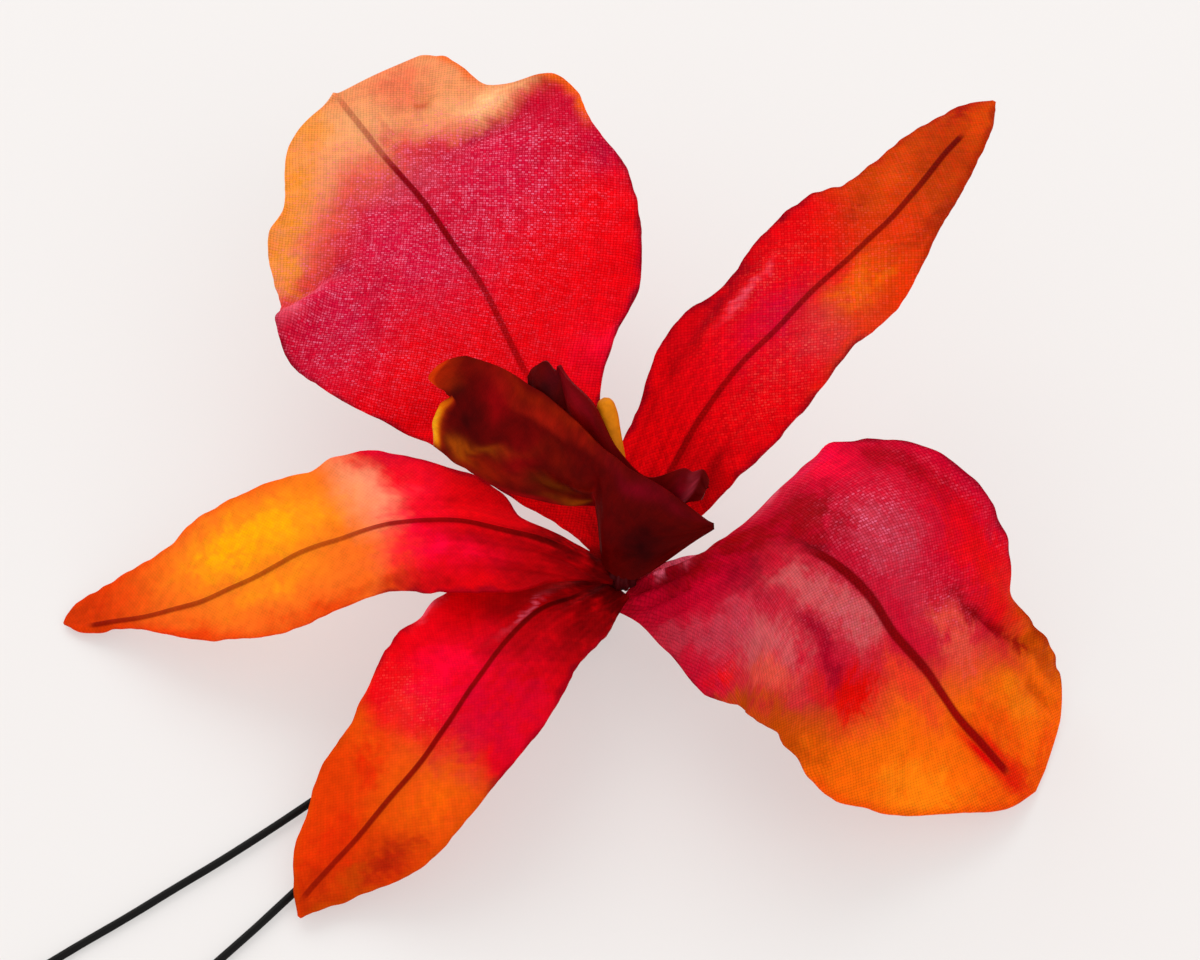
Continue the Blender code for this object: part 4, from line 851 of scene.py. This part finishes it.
def roundedRadii(radius, runs):
    # full radius along the wire, falling to a round tip over one radius at both ends
    ends = np.minimum(runs, runs[-1] - runs)
    return radius * np.sqrt(np.clip(1 - (1 - np.clip(ends / radius, 0.0, 1)) ** 2, 0.02, 1))


def withTips(points, radius):
    # adds close points at both ends, so that the round tips are really round
    points = np.array(points)
    runs = runsOf(points)
    near = radius * (1 - np.cos(np.linspace(0, math.pi / 2, 6)))
    middle = runs[(runs > radius * 1.05) & (runs < runs[-1] - radius * 1.05)]
    at = np.unique(np.concatenate([near, middle, runs[-1] - near]))
    return pointsAt(at, runs, points), at


ribWire = {"radius": 0.25, "points": 120, "sides": 16, "sunk": 0.04}
ribFinish = plainFinish("ribPaper", (92, 10, 16), rough=0.6, shine=0.3, speckScale=2600)


def makeRib(name, blade):
    # the wire follows the back of its blade, sunk a little into the cloth
    spec = blade.spec
    shares = np.linspace(spec["wire"][0][0], spec["wire"][-1][0], ribWire["points"])
    across, zero = between(spec["wire"], shares), np.zeros(len(shares))
    places, up = blade.point(shares, across)
    lift = blade.relief(shares, across, zero, zero)[0]
    below = clothThickness / 2 + ribWire["radius"] - ribWire["sunk"]
    route, runs = withTips(places + up * (lift - below)[:, None], ribWire["radius"])
    rib = wireMesh(name, route, roundedRadii(ribWire["radius"], runs), ribWire["sides"])
    rib.data.materials.append(ribFinish)
    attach(rib, "root")
    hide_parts("rib_" + spec["node"])


for name, spec in {"petalUpperLeft": petalUpperLeft, "petalLowerRight": petalLowerRight,
                   "sepalUpperRight": sepalUpperRight, "sepalLeft": sepalLeft,
                   "sepalBottom": sepalBottom}.items():
    makeRib("rib" + name[0].upper() + name[1:], makeBlade(name, spec))
print("blades and ribs made")

# Lip and throat, lofted between a foot line and a rim line. Places on them are (share across, share of height).
# stations: (foot, rim, bulge). corners: (reach, first depth, last depth) of the rounded upper corners.
# notch: a dip in the upper edge, (place, width, depth). frill: how far the end stands out at each height.
# endRim: (from height, to height, depth, dye) at the frilled end. swell: above 1 lifts the bulge to the rim.
outward = np.array((-0.45, -0.75, -0.48))       # the side of the lip that faces away from the column
scoopWander = {"across": 0.02, "up": 0.06, "pitch": 0.3, "seeds": (1.1, 5.5)}
scoopTint = {"level": 0.85, "depth": 0.6, "pitches": (20, 7), "seed": 40, "soft": 0.12, "rimReach": 1.4}
scoopFine = {"first": 0.05, "last": 0.08, "waves": 0.5, "pitch": 0.35, "seed": 2.2, "frillReach": 0.12}
lip = {
    "node": "lip", "cloth": "lipCloth", "slot": "lip_cloth", "grid": (150, 60), "thick": 0.42,
    "size": (33.0, 10.5), "swell": 1.5, "corners": (0.05, 0.1, 0.0), "notch": (0.0, 0.02, 0.0),
    "stations": [((-18.6, 7.5, 11.0), (-16.6, 15.4, 16.0), 0.8), ((-15.1, 6.2, 8.6), (-12.5, 13.9, 15.8), 1.8),
        ((-10.2, 4.5, 6.9), (-8.1, 11.5, 14.6), 2.1), ((-5.4, 4.3, 5.7), (-4.6, 8.4, 13.8), 2.0),
        ((-2.7, 4.3, 5.7), (-2.2, 6.2, 12.7), 1.5), ((-1.6, -0.2, 1.6), (0.2, 4.4, 11.8), 1.7),
        ((1.05, -1.2, 0.8), (3.9, 2.5, 10.6), 1.4), ((8.9, -0.1, 7.6), (8.9, 0.0, 7.85), 0.0)],
    "frill": [(0, 0), (0.3, 0.5), (0.5, 0.2), (0.62, -0.8), (0.72, 0.9), (0.8, 1.9), (0.9, 1.3), (1, 0)],
    "ground": "lipRed",
    "washes": [(0.17, 0.14, 0.1, 0.13, 20, 0.85, "rust"), (0.09, 0.14, 0.05, 0.1, -20, 0.85, "ochre"),
        (0.15, 0.33, 0.12, 0.06, 30, 0.75, "ochre"), (0.17, 0.86, 0.05, 0.15, 0, 0.8, "deepRed"),
        # the brick wash at (0.35, 0.94) is a painted highlight along the upper ridge
        (0.27, 0.45, 0.05, 0.3, -20, 0.6, "deepRed"), (0.35, 0.94, 0.22, 0.045, 0, 0.75, "brick"),
        (0.4, 0.7, 0.08, 0.14, -20, 0.2, "rust"), (0.4, 0.3, 0.08, 0.13, 10, 0.6, "olive"),
        (0.46, 0.08, 0.08, 0.055, 4, 0.8, "ochre"), (0.55, 0.45, 0.06, 0.12, -35, 0.3, "rust"),
        (0.7, 0.45, 0.07, 0.4, 0, 0.6, "darkRed"), (0.86, 0.45, 0.07, 0.3, 0, 0.9, "blackRed"),
        (0.8, 0.95, 0.16, 0.06, 0, 0.6, "wine"), (0.585, 0.2, 0.025, 0.3, 0, 0.9, "deepRed"),
        # the rust wash at (0.35, 1.0) is a painted highlight along the upper rim, the blackRed at (0.05, 0.74)
        # painted shade inside the curled end
        (0.35, 1.0, 0.25, 0.03, 0, 0.7, "rust"), (0.05, 0.74, 0.03, 0.06, 30, 0.8, "blackRed"),
        # the blackRed wash at (0.12, 0.57) is the painted shadow of a fold
        (0.12, 0.57, 0.06, 0.17, -20, 0.65, "blackRed"), (0.02, 0.82, 0.03, 0.08, 0, 0.7, "redOrange"),
        (0.3, 0.0, 0.16, 0.035, 0, 0.8, "deepRed")],
    "endRim": [(0.02, 0.66, 1.1, "rust"), (0.02, 0.6, 0.7, "orange"), (0.06, 0.5, 0.45, "amber"),
        (0.74, 1.0, 1.2, "rust"), (0.8, 1.0, 0.32, "redOrange")],
    "dents": [(0.16, 0.45, 0.025, 0.45, -28, 0.5), (0.22, 0.5, 0.03, 0.4, -28, -0.5),
        (0.08, 0.75, 0.03, 0.1, 20, -0.5), (0.3, 0.9, 0.2, 0.05, 0, 0.35), (0.35, 0.75, 0.15, 0.08, 4, -0.4),
        (0.5, 0.5, 0.05, 0.4, -30, 0.4), (0.6, 0.5, 0.04, 0.4, -30, -0.4), (0.72, 0.5, 0.05, 0.4, -10, 0.4),
        (0.86, 0.5, 0.05, 0.3, 0, -0.4), (0.4, 0.2, 0.08, 0.15, 0, -0.4)],
}
throat = {
    "node": "throat", "cloth": "throatCloth", "slot": "throat_cloth", "grid": (120, 50), "thick": 0.4,
    "size": (21.0, 10.5), "swell": 1.0, "corners": (0.1, 0.3, 0.3), "notch": (0.15, 0.022, 0.12),
    "stations": [((-8.0, 12.0, 10.5), (-9.2, 14.2, 16.8), 0.3), ((-5.2, 8.4, 8.5), (-6.6, 13.0, 17.0), 0.8),
        ((-2.8, 5.7, 6.8), (-3.0, 9.5, 15.3), 0.4), ((-0.6, 0.6, 2.4), (-0.4, 6.3, 11.8), 0.4),
        ((1.4, 0.5, 2.4), (2.8, 4.6, 9.6), 0.6), ((4.6, 3.0, 6.6), (6.2, 4.6, 11.0), 0.5),
        ((7.8, 2.6, 8.6), (8.9, 3.9, 10.9), 0.2)],
    "frill": [(0, 0), (0.4, 0.5), (0.75, 0.2), (1, -1.2)], "ground": "maroon",
    "washes": [(0.12, 0.75, 0.12, 0.3, 0, 0.8, "blackRed"), (0.25, 0.9, 0.12, 0.1, 0, 0.5, "wine"),
        # the rose wash at (0.9, 0.6) is a painted highlight on the ridge of the small end fold
        (0.9, 0.6, 0.025, 0.4, 0, 0.45, "rose"), (0.85, 0.6, 0.06, 0.4, 0, 0.5, "wine"),
        (0.25, 0.7, 0.05, 0.3, 0, 0.4, "deepRed"), (0.97, 0.6, 0.03, 0.4, 0, 0.6, "blackRed")],
    "endRim": [],
    "dents": [(0.08, 0.7, 0.05, 0.4, 12, 0.7), (0.18, 0.75, 0.03, 0.4, 12, -1.0),
        (0.27, 0.75, 0.05, 0.4, 12, 0.5), (0.88, 0.6, 0.03, 0.5, 0, 0.6), (0.94, 0.6, 0.03, 0.5, 0, -0.6)],
}


def scoopSurface(spec, across, height):
    reach, first, last = spec["corners"]
    at, width, depth = spec["notch"]
    for lost, off in ((first, across), (last, 1 - across)):
        height = height * (1 - lost * (1 - np.sqrt(1 - np.clip(1 - off / reach, 0, 1) ** 2)))
    height = height * (1 - depth * np.exp(-((across - at) / width) ** 2))
    stations = list(zip(np.linspace(0, 1, len(spec["stations"])), spec["stations"]))
    foot, rim = (np.stack([between([(s, station[end][k]) for s, station in stations], across)
                           for k in range(3)], axis=1) for end in (0, 1))
    swell = height ** spec["swell"]
    bulge = between([(s, station[2]) for s, station in stations], across) * 4 * swell * (1 - swell)
    frill = between(spec["frill"], height) * np.clip(1 - across / scoopFine["frillReach"], 0, 1) ** 2
    place = foot + (rim - foot) * height[:, None] + outward * bulge[:, None]
    place[:, 0] -= frill
    return place


def makeScoop(name, spec):
    sheet, side, height = clothGrid(name, *spec["grid"])
    across = (side + 1) / 2
    long, tall = spec["size"]
    x, y, pitch = across * long, height * tall, scoopWander["pitch"]
    u = across + scoopWander["across"] * ripple(x * pitch, y * pitch, scoopWander["seeds"][0])
    v = height + scoopWander["up"] * ripple(x * pitch, y * pitch, scoopWander["seeds"][1])
    colour = np.tile(linear(tints[spec["ground"]]), (len(u), 1))
    for a, h, reachA, reachH, turn, strength, tint in spec["washes"]:
        spot = (a * long, h * tall, reachA * long, reachH * tall, turn, strength)
        blots = ripple(u * scoopTint["pitches"][0], v * scoopTint["pitches"][1], a * scoopTint["seed"])
        patchy = scoopTint["level"] + scoopTint["depth"] * blots
        colour = paint(colour, tint, mark(u * long, v * tall, [spot])[0] * patchy)
    for low, high, depth, tint in spec["endRim"]:
        within = smooth((height - low) / scoopTint["soft"] + 0.5)
        within = within * smooth((high - height) / scoopTint["soft"] + 0.5)
        colour = paint(colour, tint, within * smooth(scoopTint["rimReach"] - x / depth))
    dents = [(a * long, h * tall, reachA * long, reachH * tall, turn, deep)
             for a, h, reachA, reachH, turn, deep in spec["dents"]]
    lift = sum(mark(x, y, dents)) * smooth(across / scoopFine["first"])
    lift = lift * smooth((1 - across) / scoopFine["last"])
    waves = ripple(x * scoopFine["pitch"], y * scoopFine["pitch"], scoopFine["seed"])
    lift = lift + scoopFine["waves"] * waves * np.sin(height * math.pi)
    zero = np.zeros(len(across))
    moveCloth(sheet, scoopSurface(spec, across, height) + outward * lift[:, None], np.stack([x, y], axis=1),
              {"tint": np.clip(colour, 0, 1), "glint": zero, "rib": zero + 9, "wireShadow": zero})
    closeCloth(sheet, spec["thick"], spec["cloth"])
    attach(sheet, "root")
    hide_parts(spec["node"])


makeScoop("lipFold", lip)
makeScoop("throatFold", throat)
print("lip and throat made")

# Column: a soft yellow stick with a rounded head
column = {"foot": (0.5, 1.75, 1.75), "tip": (-1.8, 10.4, 14.9), "bow": (0.35, 0.2, 0.0), "head": (0.85, 0.15),
          "uneven": 0.05, "lumps": 9, "seed": 3.0, "sides": 32,
          "profile": [(0, 0.05), (0.01, 0.55), (0.04, 0.75), (0.35, 0.8), (0.75, 0.9), (0.88, 1.0),
                      (0.95, 0.88), (0.985, 0.6), (1, 0.12)]}


def makeColumn():
    neck, rest = column["head"]
    head = neck + rest * np.sin(np.linspace(0.05, 1, 24) * math.pi / 2)      # closer points round the head
    share = np.concatenate([np.linspace(0, neck, 40), head])
    foot, tip = np.array(column["foot"]), np.array(column["tip"])
    route = foot + (tip - foot) * share[:, None] + np.array(column["bow"]) * np.sin(share * math.pi)[:, None]
    lumps = ripple(share * column["lumps"], share * 0, column["seed"])
    radii = between(column["profile"], share) * (1 + column["uneven"] * lumps)
    stick = wireMesh("columnStick", route, radii, column["sides"])
    stick.data.materials.append(plainFinish("columnFoam", (204, 118, 4), rough=0.7, shine=0.1, speck=0.1,
                                            speckScale=1500, relief=0.5))
    return stick


# Hub cup: the moulded piece that the blades, lip and throat plug into
hubCup = {"radius": 1.6, "ribs": 10, "ribDepth": 0.09, "segments": 80, "rings": 48}


def makeHub():
    deselect()
    bpy.ops.mesh.primitive_uv_sphere_add(segments=hubCup["segments"], ring_count=hubCup["rings"],
                                         radius=hubCup["radius"] * mm, location=hub * mm)
    cup = bpy.context.object
    cup.name = cup.data.name = "hubCup"
    bpy.ops.object.transform_apply(location=True, rotation=True, scale=True)
    for v in cup.data.vertices:
        off = np.array(v.co) / mm - hub
        turn = math.atan2(off[1], off[0])
        flat = math.hypot(off[0], off[1]) / hubCup["radius"]
        v.co = (hub + off * (1 + hubCup["ribDepth"] * flat * math.cos(hubCup["ribs"] * turn))) * mm
    bpy.ops.object.shade_smooth()
    cup.data.materials.append(plainFinish("hubPlastic", (70, 0, 6), rough=0.7, shine=0.1, speckScale=1200))
    return cup


# Pin: two legs of black enamelled wire, with the bend held under the flower
pin = {"upper": [(-5.0, 5.6, 1.5), (-31.0, -19.6, 0.8), (-59.0, -40.8, 0.4)],
       "lower": [(-3.4, 4.2, 1.5), (-29.8, -27.6, 0.8), (-43.4, -42.6, 0.4)], "radius": 0.4, "sway": 0.1,
       "swayPitch": 0.12, "seeds": (5.0, 8.0), "bendAt": 0.57, "stillEnds": 6, "stillBend": 12,
       "uneven": 0.03, "unevenPitch": 0.7, "unevenSeed": 2.0, "sides": 24}


def makePin():
    drop = np.array((0, 0, -hub[2]))
    upper, lower = np.array(pin["upper"]) + drop, np.array(pin["lower"]) + drop
    middle, across = (upper[0] + lower[0]) / 2, (upper[0] - lower[0]) / 2
    onward = np.array([across[1], -across[0], 0])
    bend = [middle + across * math.cos(a) + onward * math.sin(a) for a in np.linspace(0, math.pi, 17)]
    legs = [curveThrough(leg, 90)[0] for leg in (upper, lower)]
    route = np.array([*legs[0][:0:-1], *bend, *legs[1][1:]])
    runs = runsOf(route)
    free = smooth(np.minimum(runs, runs[-1] - runs) / pin["stillEnds"])
    free = free * smooth(np.abs(runs - runs[-1] * pin["bendAt"]) / pin["stillBend"])
    for axis, seed in enumerate(pin["seeds"]):
        route[:, axis] += pin["sway"] * ripple(runs * pin["swayPitch"], runs * 0, seed) * free
    route, runs = withTips(route, pin["radius"])
    lumps = ripple(runs * pin["unevenPitch"], runs * 0, pin["unevenSeed"])
    radii = roundedRadii(pin["radius"], runs) * (1 + pin["uneven"] * lumps)
    wire = wireMesh("pinWire", route, radii, pin["sides"])
    wire.data.materials.append(plainFinish("blackEnamel", (6, 5, 5), rough=0.5, shine=0.12, speck=0.2,
                                           speckScale=1800, relief=0.2))
    return wire


# Binding: stretched crepe tape wound down the stub and round the pin's bend
binding = {"stub": 1.3, "pad": (-4.4, 4.7, -10.9), "along": 3.7, "across": 2.9, "height": 2.5, "turns": 9,
           "padTurns": 8, "lap": 0.16, "lapStep": 0.08, "crepe": 0.03, "crepePitches": (6, 60), "lumps": 0.12,
           "lumpPitches": (1.5, 4), "bareEnds": 0.06, "grid": (96, 120)}


def windTape(name, start, end, profile, turns, squash):
    # a closed tube from start to end with a raised edge at each turn of the tape
    sheet, side, even = clothGrid(name, *binding["grid"])
    angle = (side + 1) * math.pi
    start, end = np.array(start, float), np.array(end, float)
    forward = (end - start) / np.linalg.norm(end - start)
    flat = np.cross((0, 0, 1), forward)
    flat /= np.linalg.norm(flat)
    up = np.cross(forward, flat)
    phase = even * turns + angle / (2 * math.pi)
    phase = phase - np.floor(phase)
    lap = binding["lap"] * (1 - phase) * smooth(phase / binding["lapStep"])
    roundPitch, alongPitch = binding["crepePitches"]
    crepe = binding["crepe"] * ripple(angle * roundPitch, even * alongPitch, 1.0)
    tape = lap - binding["lap"] / 2 + crepe
    bare = binding["bareEnds"]
    radius = profile(even) + tape * smooth(even / bare) * smooth((1 - even) / bare)
    roundPitch, alongPitch = binding["lumpPitches"]
    lumps = ripple(np.cos(angle) * roundPitch, even * alongPitch + np.sin(angle), 7.0)
    radius = radius + binding["lumps"] * lumps
    radius = np.where((even < 1e-5) | (even > 1 - 1e-5), 0.0, radius)
    place = (start + (end - start) * even[:, None] + flat * (radius * squash * np.cos(angle))[:, None]
             + up * (radius * np.sin(angle))[:, None])
    moveCloth(sheet, place, np.stack([angle * 2, even * 20], axis=1), {})
    mergePoints(1e-6, faceOut=True)
    return sheet


def makeBinding():
    pad = np.array(binding["pad"])
    top = pad / np.linalg.norm(pad) * (hubCup["radius"] - 0.1)
    stub = windTape("bindingTape", top, pad, lambda even: binding["stub"] * np.clip(even / 0.02, 0.2, 1) ** 0.5,
                    binding["turns"], 1.0)
    upper, lower = np.array(pin["upper"]), np.array(pin["lower"])
    run = upper[1] + lower[1] - upper[0] - lower[0]
    run[2] = 0
    run = run / np.linalg.norm(run) * (binding["along"] - 0.12)
    dome = windTape("bindingPad", pad - run, pad + run,
                    lambda even: binding["height"] * np.sqrt(np.clip(1 - (2 * even - 1) ** 2, 0, 1)),
                    binding["padTurns"], binding["across"] / binding["height"])
    for v in dome.data.vertices:
        v.co.z = max(v.co.z, 0.0)       # flat where it lies on the surface
    applyModifier(stub, "BOOLEAN", operation="UNION", object=dome)
    bpy.data.objects.remove(dome)
    bpy.ops.object.shade_smooth_by_angle(angle=math.radians(60))
    stub.data.materials.append(plainFinish("bindingCrepe", (66, 20, 24), rough=0.7, shine=0.2, speck=0.25,
                                           speckScale=2200, relief=0.8, distance=0.00008))
    return stub


for make, node, slot in ((makeColumn, "column", "column_plastic"),
                         (makeHub, "receptacle", "receptacle_plastic"),
                         (makePin, "pin", "pin_wire"), (makeBinding, "binding", "binding_tape")):
    piece = make()
    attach(piece, "root")
    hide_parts(node)
    print(piece.name, "made,", len(piece.data.polygons), "faces")
